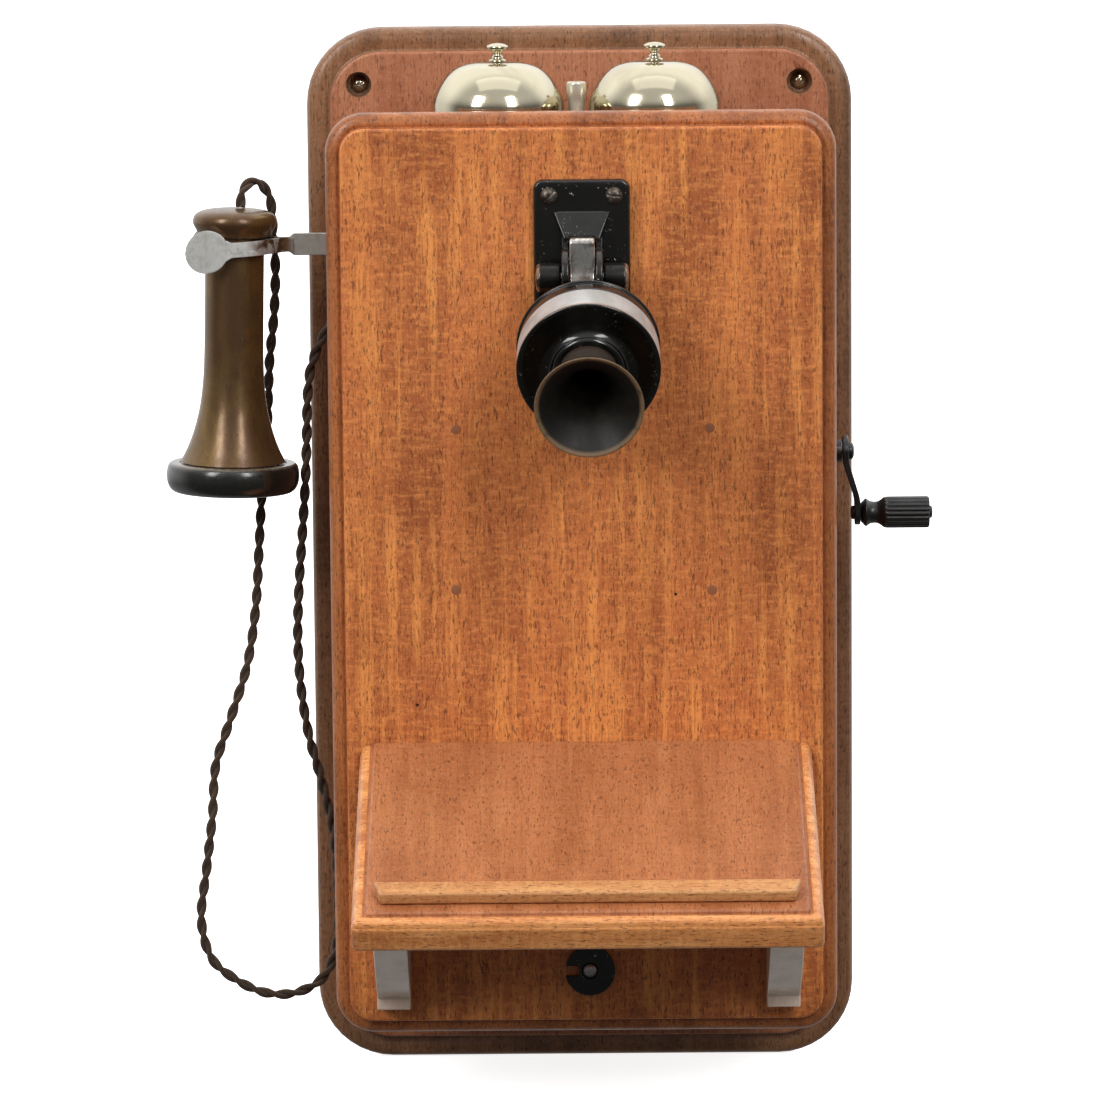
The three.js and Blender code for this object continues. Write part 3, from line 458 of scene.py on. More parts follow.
def glossy_black(name, chips=0.0, tint=None, rough=0.16):
    """Black japan or ebonite: a little uneven and dusty, with paint chips where asked."""
    tint = tint or srgb(9, 8, 5)
    finish = Finish(name, Specular_IOR_Level=0.5, Coat_Weight=0.3, Coat_Roughness=0.08)
    waves = finish.noise(finish.place((0.12, 0.12, 0.12)), 1.0, 3, 0.5)
    dust = finish.noise(finish.place((0.9, 0.9, 0.9)), 1.0, 4, 0.7)
    color = finish.mix(finish.band(dust, 0.52, 0.8, 0.0, 0.06), tint, srgb(96, 84, 66))
    layers = [(waves, 0.07), (dust, 0.006)]
    if chips:
        flaws = finish.noise(finish.place((0.42, 0.42, 0.42)), 1.0, 5, 0.78, 0.4)
        patches = finish.noise(finish.place((0.1, 0.1, 0.1), shift=(5, 0, 2)), 1.0, 2, 0.5)
        bare = finish.sum("MULTIPLY", finish.band(flaws, 0.615, 0.65), finish.band(patches, 0.47, 0.56))
        color = finish.mix(finish.sum("MULTIPLY", bare, chips), color, srgb(206, 200, 190))
        layers.append((bare, 0.05))
    finish.set("Base Color", color)
    finish.set("Roughness", finish.band(waves, 0.3, 0.7, rough, rough * 1.6))
    finish.relief(*layers)
    return finish.material


def braided_cloth(name, light, dark, plaits=9.0, pitch=0.62):
    """Cotton braid on a strand that carries UVs: round in U, millimetres in V."""
    finish = Finish(name, Roughness=0.86, Specular_IOR_Level=0.2, Sheen_Weight=0.25, Sheen_Roughness=0.5)
    uv = finish.node("ShaderNodeUVMap", uv_map="UVMap").outputs[0]
    split = finish.node("ShaderNodeSeparateXYZ")
    finish.feed(split.inputs[0], uv)
    around = finish.sum("MULTIPLY", split.outputs[0], plaits * 2 * math.pi)
    length = finish.sum("MULTIPLY", split.outputs[1], 2 * math.pi * pitch)
    one = finish.sum("SINE", finish.sum("ADD", around, length), 0)
    two = finish.sum("SINE", finish.sum("SUBTRACT", around, length), 0)
    over = finish.band(finish.sum("MULTIPLY", one, two), -0.5, 0.6)
    fluff = finish.noise(finish.place((1.6, 1.6, 1.6)), 1.0, 5, 0.7)
    worn = finish.noise(finish.place((0.05, 0.05, 0.05)), 1.0, 3, 0.5)
    color = finish.mix(finish.band(over, 0.0, 1.0, 0.2, 0.95), dark, light)
    color = finish.mix(finish.band(worn, 0.4, 0.7, 0.0, 0.35), color, srgb(92, 70, 50))
    color = finish.mix(finish.band(fluff, 0.55, 0.8, 0.0, 0.4), color, dark)
    finish.set("Base Color", color)
    finish.relief((over, 0.16), (fluff, 0.05))
    return finish.material


def bronzed(name):
    """Dark oxidised brass with an olive cast, rubbed lighter, and fine scratches."""
    finish = Finish(name, Metallic=0.5, Specular_IOR_Level=0.4, Coat_Weight=0.22, Coat_Roughness=0.16)
    clouds = finish.noise(finish.place((0.035, 0.035, 0.02)), 1.0, 5, 0.6, 0.5)
    fine = finish.noise(finish.place((0.5, 0.5, 0.12)), 1.0, 5, 0.7)
    marks = finish.noise(finish.place((0.9, 0.9, 0.16), turn=(30, 20, 15)), 1.0, 2, 0.5, 1.6)
    color = finish.mix(finish.band(clouds, 0.36, 0.66), srgb(92, 66, 42), srgb(120, 94, 50))
    color = finish.mix(finish.band(fine, 0.5, 0.75, 0.0, 0.45), color, srgb(74, 50, 30))
    scratch = finish.band(marks, 0.735, 0.76)
    color = finish.mix(finish.sum("MULTIPLY", scratch, 0.5), color, srgb(150, 132, 100))
    finish.set("Base Color", color)
    finish.set("Roughness", finish.band(fine, 0.3, 0.75, 0.24, 0.38))
    finish.relief((fine, 0.02), (scratch, 0.02))
    return finish.material


def wood_with_painted_reflection(name):
    """Glossy bracket wood with nicks along it; its pale base colour is painted reflection of the white surroundings and
    painted light against the shade under the shelf.
    """
    finish = Finish(name, Specular_IOR_Level=0.6, Coat_Weight=0.5, Coat_Roughness=0.2)
    fibres = finish.noise(finish.place((1.8, 1.8, 0.1)), 1.0, 4, 0.6)
    clouds = finish.noise(finish.place((0.08, 0.08, 0.05)), 1.0, 4, 0.6)
    nicks = finish.noise(finish.place((0.35, 0.35, 0.5), shift=(4, 0, 9)), 1.0, 5, 0.75)
    # The pale base colours are painted light: painted reflection of the white surroundings and painted brightness where
    # the shelf shades the brackets.
    color = finish.mix(finish.band(clouds, 0.35, 0.65), srgb(240, 218, 200), srgb(220, 194, 174))
    color = finish.mix(finish.band(fibres, 0.45, 0.75, 0.0, 0.3), color, srgb(186, 156, 134))
    bare = finish.band(nicks, 0.69, 0.715)
    finish.set("Base Color", finish.mix(bare, color, srgb(52, 34, 24)))
    finish.set("Roughness", finish.band(clouds, 0.3, 0.7, 0.24, 0.36))
    finish.relief((fibres, 0.05), (finish.sum("SUBTRACT", 1.0, bare), 0.25))
    return finish.material


def wound_thread(name, color, shade, pitch):
    """Close turns of covered wire or thread round a bobbin."""
    finish = Finish(name, Roughness=0.7, Sheen_Weight=0.2)
    wave = finish.node("ShaderNodeTexWave", wave_type="BANDS", bands_direction=pitch)
    finish.feed(wave.inputs["Vector"], finish.place((1, 1, 1)))
    wave.inputs["Scale"].default_value = 0.7
    wave.inputs["Distortion"].default_value = 0.35
    speck = finish.noise(finish.place((0.8, 0.8, 0.8)), 1.0, 4, 0.6)
    tone = finish.mix(finish.band(wave.outputs["Fac"], 0.2, 0.9), shade, color)
    finish.set("Base Color", finish.mix(finish.band(speck, 0.5, 0.75, 0.0, 0.4), tone, shade))
    finish.relief((wave.outputs["Fac"], 0.25), (speck, 0.05))
    return finish.material


VERTICAL = (1, 1, 0)
SLOPE_GRAIN = (1, 0, 0)
CROSSWISE = (0, 1, 1)

door_wood = wood("door_mahogany", srgb(246, 160, 86), srgb(206, 118, 64), srgb(160, 84, 43), VERTICAL, 3,
                 holes=1.0)
board_wood = wood("backboard_mahogany", srgb(200, 140, 104), srgb(182, 118, 84), srgb(160, 94, 62), VERTICAL, 7,
                  figure=0.5, gloss=0.4)
# The moulded edges get a darker, greyer copy of the board wood: painted shade.
edge_wood = wood("moulded_edges_painted_shade", srgb(172, 128, 96), srgb(146, 102, 70), srgb(106, 72, 48), VERTICAL, 5,
                 figure=0.5, gloss=0.3)
rim_wood = wood("door_rim_mahogany", srgb(206, 132, 78), srgb(178, 106, 60), srgb(130, 72, 38), VERTICAL, 29,
                figure=0.6, gloss=0.28)
shelf_wood = wood("shelf_mahogany", srgb(204, 138, 92), srgb(184, 114, 70), srgb(156, 90, 50), SLOPE_GRAIN, 11,
                  figure=0.5, gloss=0.38)
lip_wood = wood("lip_oak", srgb(226, 170, 112), srgb(208, 146, 92), srgb(176, 112, 66), CROSSWISE, 13, gloss=0.36)
# The shelf's moulded front edge gets a lighter copy of the wood than its top: painted light from below.
front_wood = wood("shelf_front_painted_light", srgb(248, 176, 110), srgb(222, 144, 82), srgb(180, 106, 56), CROSSWISE, 17,
                  gloss=0.34)
side_wood = wood("case_mahogany", srgb(150, 86, 54), srgb(122, 64, 38), srgb(92, 44, 26), VERTICAL, 19, figure=0.6)
inner_wood = wood("inner_mahogany", srgb(150, 92, 60), srgb(126, 70, 42), srgb(96, 50, 30), CROSSWISE, 23,
                  figure=0.6)
# The brackets' pale finish is painted reflection and painted light, not the wood's own colour.
bracket_wood = wood_with_painted_reflection("bracket_painted_reflection")
gong_nickel = scuffed_metal("gong_nickel", srgb(200, 192, 168), srgb(170, 158, 132), 0.1, size=0.03, amount=0.4,
                            depth=0.004)
clapper_nickel = scuffed_metal("clapper_nickel", srgb(214, 208, 190), srgb(184, 176, 156), 0.26, metallic=0.6,
                               amount=0.5)
screw_steel = scuffed_metal("screw_steel", srgb(112, 104, 95), srgb(50, 42, 36), 0.34, size=0.25, amount=0.9)
bright_steel = scuffed_metal("bright_steel", srgb(190, 188, 184), srgb(120, 112, 104), 0.24, size=0.1, amount=0.6)
brass = scuffed_metal("aged_brass", srgb(178, 142, 78), srgb(116, 86, 46), 0.26, size=0.07, amount=0.7)
japan = glossy_black("black_japan", chips=0.9)
gloss_japan = glossy_black("transmitter_japan", chips=0.12, rough=0.11)
ebonite = glossy_black("ebonite", tint=srgb(20, 18, 14), rough=0.24)
crank_black = glossy_black("crank_black", tint=srgb(11, 10, 8), rough=0.34)
bronze = bronzed("bronzed_receiver")
braid = braided_cloth("cord_braid", srgb(84, 62, 44), srgb(40, 28, 19))
magnet_paint = scuffed_metal("magnet_paint", srgb(104, 36, 26), srgb(60, 30, 26), 0.4, metallic=0.1, amount=0.8)
coil_thread = wound_thread("coil_thread", srgb(58, 92, 62), srgb(26, 46, 32), "Z")
induction_thread = wound_thread("induction_thread", srgb(66, 84, 62), srgb(30, 40, 30), "X")


# ---------------------------------------------------------------- backboard and case

def screw_head(name, seat, axis, radius, height, dome, material, slot_turn):
    """A slotted screw head on its seat, with a short shank behind it."""
    profile = rounded([(0, -2), (radius * 0.5, -2), (radius * 0.5, 0), (radius, 0, 0.2),
                       (radius, height * (0.3 if dome else 0.7), radius * (0.6 if dome else 0.1)),
                       (radius * (0.55 if dome else 0.86), height, radius * 0.4), (0, height)], steps=4)
    head = turn(name, profile, seat, axis, material, segments=40)
    along = Vector(axis).normalized()
    place = Matrix.Translation(Vector(seat) + along * height) @ along.to_track_quat("Z", "Y").to_matrix().to_4x4()
    place = place @ Matrix.Rotation(math.radians(slot_turn), 4, "Z")
    half = radius * 0.12
    slot = slab("slot", [(-2 * radius, -half), (2 * radius, -half), (2 * radius, half), (-2 * radius, half)],
                -height * 0.45, 2, place, material)
    return cut_out(head, slot)


def backboard():
    """The moulded board on the wall, with its raised field and the two sunk screws."""
    profile = rounded([(0, 0), (0, 12, 6), (6, 13, 1), (10.8, 12.2, 0.6), (11.6, 12.8, 0.4), (11.6, 17.4, 0.9),
                       (12.6, 18, 0.8), (13.6, 18), (15, 18)], steps=4)
    profile = [(max(a, 0.0), b) for a, b in [(0.8, 0)] + [tuple(p) for p in profile[1:]]]
    profile.insert(1, (0, 0.8))
    edge_rings = sum(1 for inset, _ in profile if inset < 11.5)
    board = moulded_board("backboard_fine", (-133.5, -257), (133.5, 257), 37, profile, FACING, board_wood,
                          edge_wood, edge_rings)
    holes = []
    for x in (-107.6, 107.6):
        sink = rounded([(0, 9), (5.7, 9), (5.9, 17, 0.3), (6.6, 18.6), (0, 18.6)], steps=2)
        holes.append(turn("sink", sink, (x, 0, 229.5), (0, -1, 0), edge_wood, segments=40))
        holes.append(turn("bore", [(0, -1), (2.6, -1), (2.6, 10), (0, 10)], (x, 0, 229.5), (0, -1, 0), edge_wood,
                          segments=24))
    cut_out(board, *holes)
    belongs(board, "case", "walnut", "backboard")
    for side, x, slot_turn in (("left", -107.6, 20), ("right", 107.6, 75)):
        head = turn(f"wall_screw_head_{side}",
                    rounded([(0, 3), (2.1, 3), (2.1, 9.3), (3.9, 9.3, 0.3), (3.9, 10.8, 1.6), (1.6, 12.4, 1.2),
                             (0, 12.5)]), (x, 0, 229.5), (0, -1, 0), gong_nickel, segments=40)
        half = 0.45
        slot = slab("slot", [(-5, -half), (5, -half), (5, half), (-5, half)], 11.6, 14,
                    Matrix.Translation((x, 0, 229.5)) @ FACING @ Matrix.Rotation(math.radians(slot_turn), 4, "Z"),
                    gong_nickel)
        cut_out(head, slot)
        belongs(head, "case", "nickel", f"wall_screw_{side}")


def door():
    """The door: a moulded rim, a raised field, the bore for the lock and four old plugs."""
    profile = rounded([(1, 114), (0, 115, 0.5), (0, 123, 5.5), (5, 125.2, 2), (6.6, 124.4, 0.5), (7.1, 124.9, 0.3),
                       (7.1, 129.3, 0.6), (7.9, 130, 0.6), (9, 130), (11, 130)], steps=4)
    edge_rings = sum(1 for p in profile if p[0] < 7.05)
    panel = moulded_board("door_fine", (-120.2, -219.4), (120.6, 222.2), 18.5, [tuple(p) for p in profile], FACING,
                          door_wood, rim_wood, edge_rings)
    cutter = turn("lock_bore", [(0, 110), (3.3, 110), (3.3, 131), (0, 131)], (1.8, 0, -187.6), (0, -1, 0),
                  edge_wood, segments=32)
    cut_out(panel, cutter)
    belongs(panel, "door", "walnut", "door_panel")
    plug = Finish("plug_filler", Roughness=0.5)
    tone = plug.noise(plug.place((0.6, 0.6, 0.6)), 1.0, 4, 0.6)
    plug.set("Base Color", plug.mix(tone, srgb(164, 100, 62), srgb(132, 82, 56)))
    plug.relief((tone, 0.05))
    for number, (x, z) in enumerate(((-59.6, 72.9), (60.3, 72.9), (-60.4, -3.6), (61, -4.6))):
        cap = turn(f"door_plug_{number + 1}", rounded([(0, 127), (2.4, 127), (2.4, 130.08, 0.3), (0, 130.12)]),
                   (x, 0, z), (0, -1, 0), plug.material, segments=32)
        belongs(cap, "door", "walnut")


# ---------------------------------------------------------------- gongs and clapper

def gong(side, x):
    """One nickel gong as a thin shell, with its turned knob on top."""
    rim, height, radius, wall = 218, 25, 31.7, 1.5
    outer = rounded([(radius, 0, 0.3), (radius, 9, 8), (radius - 8, 20.5, 9), (14, height, 9), (2.6, height)],
                    steps=14)
    inner = [Vector((max(p.x - wall, 2.6), p.y - (wall if p.y > 2 else 0))) for p in outer]
    shell = [tuple(outer[0])] + [tuple(p) for p in outer[1:]] + [tuple(p) for p in reversed(inner)]
    bell = turn(f"gong_fine_{side}", shell + [shell[0]], (x, -75, rim), (0, 0, 1), gong_nickel, segments=128)
    belongs(bell, "case", "nickel", f"gong_{side}")
    knob = rounded([(0, -2), (2.1, -2), (2.1, 0), (4.3, 0, 0.3), (4.4, 0.9, 0.4), (2.9, 1.3, 0.3), (2.9, 2.2, 0.4),
                    (1.9, 3.2, 0.8), (2.3, 5, 1), (3.9, 5.7, 0.5), (5.2, 6, 0.3), (5.35, 7.4, 0.6), (3.2, 8.5, 1),
                    (0, 8.9)], steps=4)
    screw = turn(f"gong_knob_{side}", [tuple(p) for p in knob], (x, -75, rim + height + 0.3), (0, 0, 1),
                 gong_nickel, segments=48)
    belongs(screw, "case", "nickel", f"gong_screw_{side}")


def clapper():
    """The rod and the flared striker between the gongs."""
    profile = rounded([(0, 0), (1.3, 0), (1.3, 60.5, 0.5), (3.6, 61.2, 0.6), (3.9, 63, 0.8), (3.9, 70, 1.5),
                       (4.7, 74, 1.5), (4.8, 78.6, 0.8), (4.2, 79.2, 0.4), (0, 79.2)], steps=5)
    hammer = turn("clapper_fine", [tuple(p) for p in profile], (-1.5, -75, 154.3), (0, 0, 1), clapper_nickel,
                  segments=48)
    belongs(hammer, "hammer", "nickel", "clapper")


# ---------------------------------------------------------------- receiver, hook and cord

RECEIVER_TOP = Vector((-165.6, -80, 161.6))
RECEIVER_AXIS = Vector((math.sin(math.radians(1.3)), 0, math.cos(math.radians(1.3))))


def receiver():
    """The receiver: a flared shell, its rounded head and the ear cap."""
    tube_line = [(14.2, -1), (14.1, -25), (14.15, -50), (14.35, -62), (14.9, -72), (16.1, -82), (17.9, -90.3),
                 (20.1, -97.6), (22.5, -103.6), (25.2, -108.9)]
    outer = [p.xy for p in smooth_line([Vector((a, b, 0)) for a, b in tube_line], 6)]
    inner = [(p.x - 1.5, p.y) for p in reversed(outer)]
    shell = [(0, -0.8), (13.4, -0.8)] + [tuple(p) for p in outer] + inner[:-1] + [(12.7, -3), (0, -3)]
    body = turn("receiver_body", shell, RECEIVER_TOP, RECEIVER_AXIS, bronze, segments=128)
    belongs(body, "receiver", "bronze", "receiver_shell")
    head = rounded([(0, -0.7), (16.2, -0.7, 0.5), (17.6, 0.2, 0.6), (17.9, 1.8, 0.8), (19.2, 3.9, 1.6),
                    (20.5, 6.9, 2.4), (18.6, 11.2, 4), (10, 13.1, 6), (0, 13.2)], steps=8)
    cap = turn("receiver_cap", [tuple(p) for p in head], RECEIVER_TOP, RECEIVER_AXIS, bronze, segments=112)
    belongs(cap, "receiver", "bronze", "receiver_head")
    ear = rounded([(22.6, -110), (25.6, -110), (25.8, -109.3, 0.3), (29.9, -109.35, 0.7), (31.2, -110.6, 0.9),
                   (31.9, -113.4, 1.6), (31.9, -118.4, 2.4), (30.4, -121.9, 1.8), (28.2, -123.5, 1),
                   (26, -123.4, 1), (19, -122.2, 4), (6.5, -119.8, 1), (5, -120.2, 0.6), (5, -118.2), (22.6, -119)],
                  steps=5)
    ear = [tuple(p) for p in ear]
    rim = turn("earcap_fine", ear + [ear[0]], RECEIVER_TOP, RECEIVER_AXIS, earcap_finish(), segments=128)
    belongs(rim, "receiver", "ebonite", "receiver_earcap")


def earcap_finish():
    """Polished ebonite whose upper rim is rubbed brown."""
    finish = Finish("earcap_ebonite", Specular_IOR_Level=0.6, Coat_Weight=0.4, Coat_Roughness=0.1)
    height = finish.along(RECEIVER_TOP, RECEIVER_AXIS)
    wear = finish.noise(finish.place((0.4, 0.4, 0.4)), 1.0, 5, 0.7)
    dust = finish.noise(finish.place((1.5, 1.5, 1.5)), 1.0, 4, 0.7)
    rubbed = finish.sum("MULTIPLY", finish.band(height, -110.8, -109.4), finish.band(wear, 0.35, 0.6, 0.35, 1.0))
    color = finish.mix(finish.band(dust, 0.5, 0.8, 0.0, 0.15), srgb(24, 24, 20), srgb(80, 74, 60))
    finish.set("Base Color", finish.mix(rubbed, color, srgb(104, 88, 70)))
    finish.set("Roughness", finish.band(wear, 0.3, 0.7, 0.17, 0.3))
    finish.relief((wear, 0.03), (dust, 0.012))
    return finish.material


def prong(side, material):
    """One arm of the fork: a bowed ribbon whose height opens into a disc at its end."""
    centre, inner, disc_x, disc_radius = -166.2, 15.7, -178.0, 10.2
    plan = [Vector((-137.5, side * 0.9, 0)), Vector((-143, side * 2.2, 0)), Vector((-149.5, side * 8.8, 0)),
            Vector((-155.6, side * 14.2, 0)), Vector((centre, side * (inner + 1.3), 0)),
            Vector((-172, side * 18, 0)), Vector((disc_x, side * 18.7, 0)), Vector((disc_x - 10.2, side * 18.9, 0))]
    line = smooth_line(plan, 12)
    vertices, columns = [], []
    for i, point in enumerate(line):
        ahead = line[min(i + 1, len(line) - 1)] - line[max(i - 1, 0)]
        normal = Vector((-ahead.y, ahead.x, 0)).normalized()
        from_disc = abs(point.x - disc_x)
        half = 3.5
        if from_disc < disc_radius:
            half = math.sqrt(max(disc_radius ** 2 - from_disc ** 2, 0.2))
        if point.x > disc_x:
            blend_in = max(0.0, 1 - max(from_disc - 8.6, 0) / 4.2)
            half = max(half, 3.5) if from_disc < disc_radius - 0.8 else 3.5 + 2.2 * blend_in ** 2
        drop = (point.x + 141) / (disc_x + 141) * -2.0
        middle = 157.2 + min(drop, 0)
        columns.append(len(vertices))
        for row in range(9):
            level = math.sin(math.pi / 2 * (row / 4 - 1)) * half
            for face in (-1, 1):
                offset = normal * face * 1.05
                vertices.append((point.x + offset.x, -80 + point.y + offset.y, middle + level))
    faces = []
    for first, second in zip(columns, columns[1:]):
        for row in range(8):
            for face in (0, 1):
                a, b = first + 2 * row + face, second + 2 * row + face
                faces.append([a, b, b + 2, a + 2])
        for row in (0, 8):
            a, b = first + 2 * row, second + 2 * row
            faces.append([a, b, b + 1, a + 1])
    for end in (columns[0], columns[-1]):
        faces += [[end + 2 * row, end + 2 * row + 1, end + 2 * row + 3, end + 2 * row + 2] for row in range(8)]
    return piece(f"prong_{side}", vertices, faces, material)


def hook():
    """The switch hook: a flat bar, its pin and the two prongs."""
    finish = Finish("hook_worn_nickel", Metallic=0.85)
    grain = finish.noise(finish.place((0.25, 0.25, 0.25)), 1.0, 6, 0.7, 0.4)
    blotch = finish.noise(finish.place((0.11, 0.2, 0.14), shift=(2, 0, 5)), 1.0, 4, 0.6, 0.5)
    reach = finish.along((-141, -80, 157), (-1, 0, 0))
    rubbed = finish.sum("MULTIPLY", finish.band(blotch, 0.47, 0.56), finish.sum(
        "MULTIPLY", finish.band(reach, -6, 0), finish.band(reach, 20, 9)))
    color = finish.mix(finish.band(grain, 0.35, 0.7), srgb(230, 230, 226), srgb(182, 182, 176))
    color = finish.mix(finish.band(reach, 3, -5, 0.0, 0.5), color, srgb(150, 142, 124))
    finish.set("Base Color", finish.mix(rubbed, color, srgb(112, 86, 62)))
    finish.set("Roughness", finish.band(grain, 0.3, 0.7, 0.42, 0.6))
    scratch = finish.noise(finish.place((0.35, 2.2, 2.6), turn=(0, 25, 0)), 1.0, 3, 0.6)
    finish.relief((grain, 0.03), (scratch, 0.015))

    bar = rounded([(-142, 153.8), (-139.6, 153.8, 0.8), (-137.4, 151.9, 0.8), (-62, 151.9, 1), (-62, 162.5, 1),
                   (-137.4, 162.5, 0.8), (-139.6, 160.6, 0.8), (-142, 160.6)], steps=3)
    lever = soften(slab("lever", bar, 78.5, 81.5, FACING, finish.material), 0.35, 2)
    apply_modifiers(lever)
    pin = turn("pin", [(0, -7.5), (1.5, -7.5), (1.5, 7.5), (0, 7.5)], (-88, -80, 157.2), (0, 1, 0),
               finish.material, segments=24)
    prongs = [apply_modifiers(soften(prong(side, finish.material), 0.3, 2)) for side in (-1, 1)]
    fork = join("fork_fine", lever, pin, *prongs)
    belongs(fork, "hook", "nickel", "hook_lever")


CORD_ROUTE = [
    (-114.9, -80, 124), (-118.6, -80, 121.6), (-123.4, -80, 113.5), (-129.6, -80, 99.5), (-131.8, -80, 84),
    (-132.4, -80, 68), (-133.3, -80, 45), (-135.2, -80, 18), (-137.2, -80, -8), (-138.2, -80, -34),
    (-137, -80, -58), (-133.4, -80, -82), (-127.4, -80, -105), (-122.2, -80, -130), (-120.4, -80, -160),
    (-121.6, -80, -186), (-128.6, -80, -201.5), (-142, -79, -209), (-157, -78, -209), (-171.5, -77, -202.3),
    (-183, -75, -192), (-187.6, -74, -173), (-184.6, -73, -148), (-181.4, -72, -122), (-179.6, -69, -98),
    (-172.4, -66, -76), (-164, -62, -50), (-159.6, -56, -22), (-157.9, -50, 6), (-156.2, -45.4, 34),
    (-153.2, -47, 66), (-151.2, -54, 98), (-148.4, -58.4, 122), (-147.4, -59.2, 144), (-148.2, -60.6, 162),
    (-149, -62.8, 176), (-152.6, -69, 184.6), (-157.8, -75.4, 186.6), (-161.6, -79.4, 182.4), (-162.6, -80, 175.4),
]


def receiver_cord():
    """Two braided strands twisted round each other along the route."""
    centre = smooth_line([Vector(p) for p in CORD_ROUTE], 12)
    lengths = [0.0]
    for first, second in zip(centre, centre[1:]):
        lengths.append(lengths[-1] + (second - first).length)
    total = lengths[-1]
    fine, samples, at = [], int(total / 0.9), 0
    for i in range(samples + 1):
        want = total * i / samples
        while at < len(lengths) - 2 and lengths[at + 1] < want:
            at += 1
        span = lengths[at + 1] - lengths[at]
        fine.append(centre[at].lerp(centre[at + 1], (want - lengths[at]) / span))
    strands = [[], []]
    normal = Vector((0, 1, 0))
    for i, point in enumerate(fine):
        tangent = (fine[min(i + 1, samples)] - fine[max(i - 1, 0)]).normalized()
        normal = (normal - tangent * normal.dot(tangent)).normalized()
        side = tangent.cross(normal)
        turned = 2 * math.pi * i * (total / samples) / 19.4
        swing = (normal * math.cos(turned) + side * math.sin(turned)) * 1.22
        strands[0].append(point + swing)
        strands[1].append(point - swing)
    twins = [tube(f"strand_{i}", line, 1.33, braid, sides=12) for i, line in enumerate(strands)]
    cord = join("cord_fine", *twins)
    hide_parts("receiver_cord")
    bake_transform(cord)


# ---------------------------------------------------------------- crank

def crank():
    """The crank: shaft collar, bowed arm, spindle and fluted grip."""
    y, z, low = -68, 53.8, 23.8
    shaft = rounded([(0, 112.7), (5.64, 112.7, 0.3), (5.64, 125.3, 0.4), (0, 125.4)], steps=4)
    collar = turn("crank_collar", [tuple(p) for p in shaft], (0, y, z), (1, 0, 0), crank_black, segments=48)
    belongs(collar, "crank", "steel")
    side = rounded([(125.7, z + 7.4), (125.7, z - 4.6, 3), (131.7, low + 6.4, 3), (131.7, low - 6),
                    (134.4, low - 6), (134.4, low + 6.6, 3), (128.6, z - 4.2, 3), (128.6, z + 7.4)], steps=6)
    across = Matrix(((1, 0, 0, 0), (0, 0, 1, 0), (0, 1, 0, 0), (0, 0, 0, 1)))
    strap = slab("crank_strap", side, y - 7.4, y + 7.4, across, crank_black)
    face = [(y + 7.4 * math.cos(a), z + 7.4 * math.sin(a)) for a in (math.pi * i / 20 for i in range(21))]
    face += [(y + 6 * math.cos(a), low + 6 * math.sin(a)) for a in (math.pi * (1 + i / 20) for i in range(21))]
    keep = slab("keep", face, 120, 140, SIDEWAYS, crank_black)
    both = strap.modifiers.new("shape", "BOOLEAN")
    both.operation, both.solver, both.object = "INTERSECT", "EXACT", keep
    apply_modifiers(strap)
    bpy.data.objects.remove(keep)
    soften(strap, 0.5, 3, 50)
    belongs(strap, "crank", "japan", "crank_arm")
    nut = rounded([(0, 128.6), (4.2, 128.6, 0.3), (4.2, 130.6, 0.8), (2.4, 131.4, 0.6), (0, 131.5)])
    belongs(turn("crank_nut", [tuple(p) for p in nut], (0, y, z), (1, 0, 0), crank_black, segments=40), "crank",
            "steel")
    spindle = rounded([(0, 129.8), (2.4, 129.8), (3.4, 130.6, 0.4), (3.4, 131.5), (2.2, 131.5), (2.2, 168.1),
                       (3, 168.1, 0.3), (2.9, 169.2, 0.8), (0, 169.5)], steps=3)
    belongs(turn("spindle_fine", [tuple(p) for p in spindle], (0, y, low), (1, 0, 0), crank_black, segments=40),
            "crank", "japan", "grip_spindle")

    profile = rounded([(2.5, 134.7), (4.6, 134.7, 0.4), (7, 137.1, 0.5), (5.5, 139.1, 0.6), (5.1, 141.6, 1.4),
                       (5.6, 143.6, 1.2), (7.5, 145.9, 0.8), (7.7, 147.4, 0.6), (7.7, 150), (7.7, 153),
                       (7.7, 156), (7.7, 159), (7.7, 162), (7.7, 165), (7.7, 167, 0.5), (7.1, 167.8, 0.4),
                       (2.5, 167.8)], steps=4)
    vertices, rings, flutes, segments = [], [], 20, 240
    for radius, distance in profile:
        rings.append(range(len(vertices), len(vertices) + segments))
        depth = 0.55 * max(0.0, min(1.0, (distance - 146.2) / 1.6))
        for i in range(segments):
            angle = 2 * math.pi * i / segments
            groove = depth * (0.5 - 0.5 * math.cos(flutes * angle)) ** 2
            r = radius - (groove if radius > 6.5 else 0)
            vertices.append((distance, y + r * math.cos(angle), low + r * math.sin(angle)))
    faces = [f for first, second in zip(rings, rings[1:] + rings[:1]) for f in bridge(first, second)]
    grip = piece("grip_fine", vertices, faces, crank_black, sharp=50)
    belongs(grip, "grip", "ebonite", "crank_grip")


# ---------------------------------------------------------------- writing shelf

SLOPE = math.radians(21.5)
ON_SLOPE = Matrix((
    (-1, 0, 0, 0.5), (0, -math.cos(SLOPE), -math.sin(SLOPE), -130.3),
    (0, -math.sin(SLOPE), math.cos(SLOPE), -76.8), (0, 0, 0, 1),
))


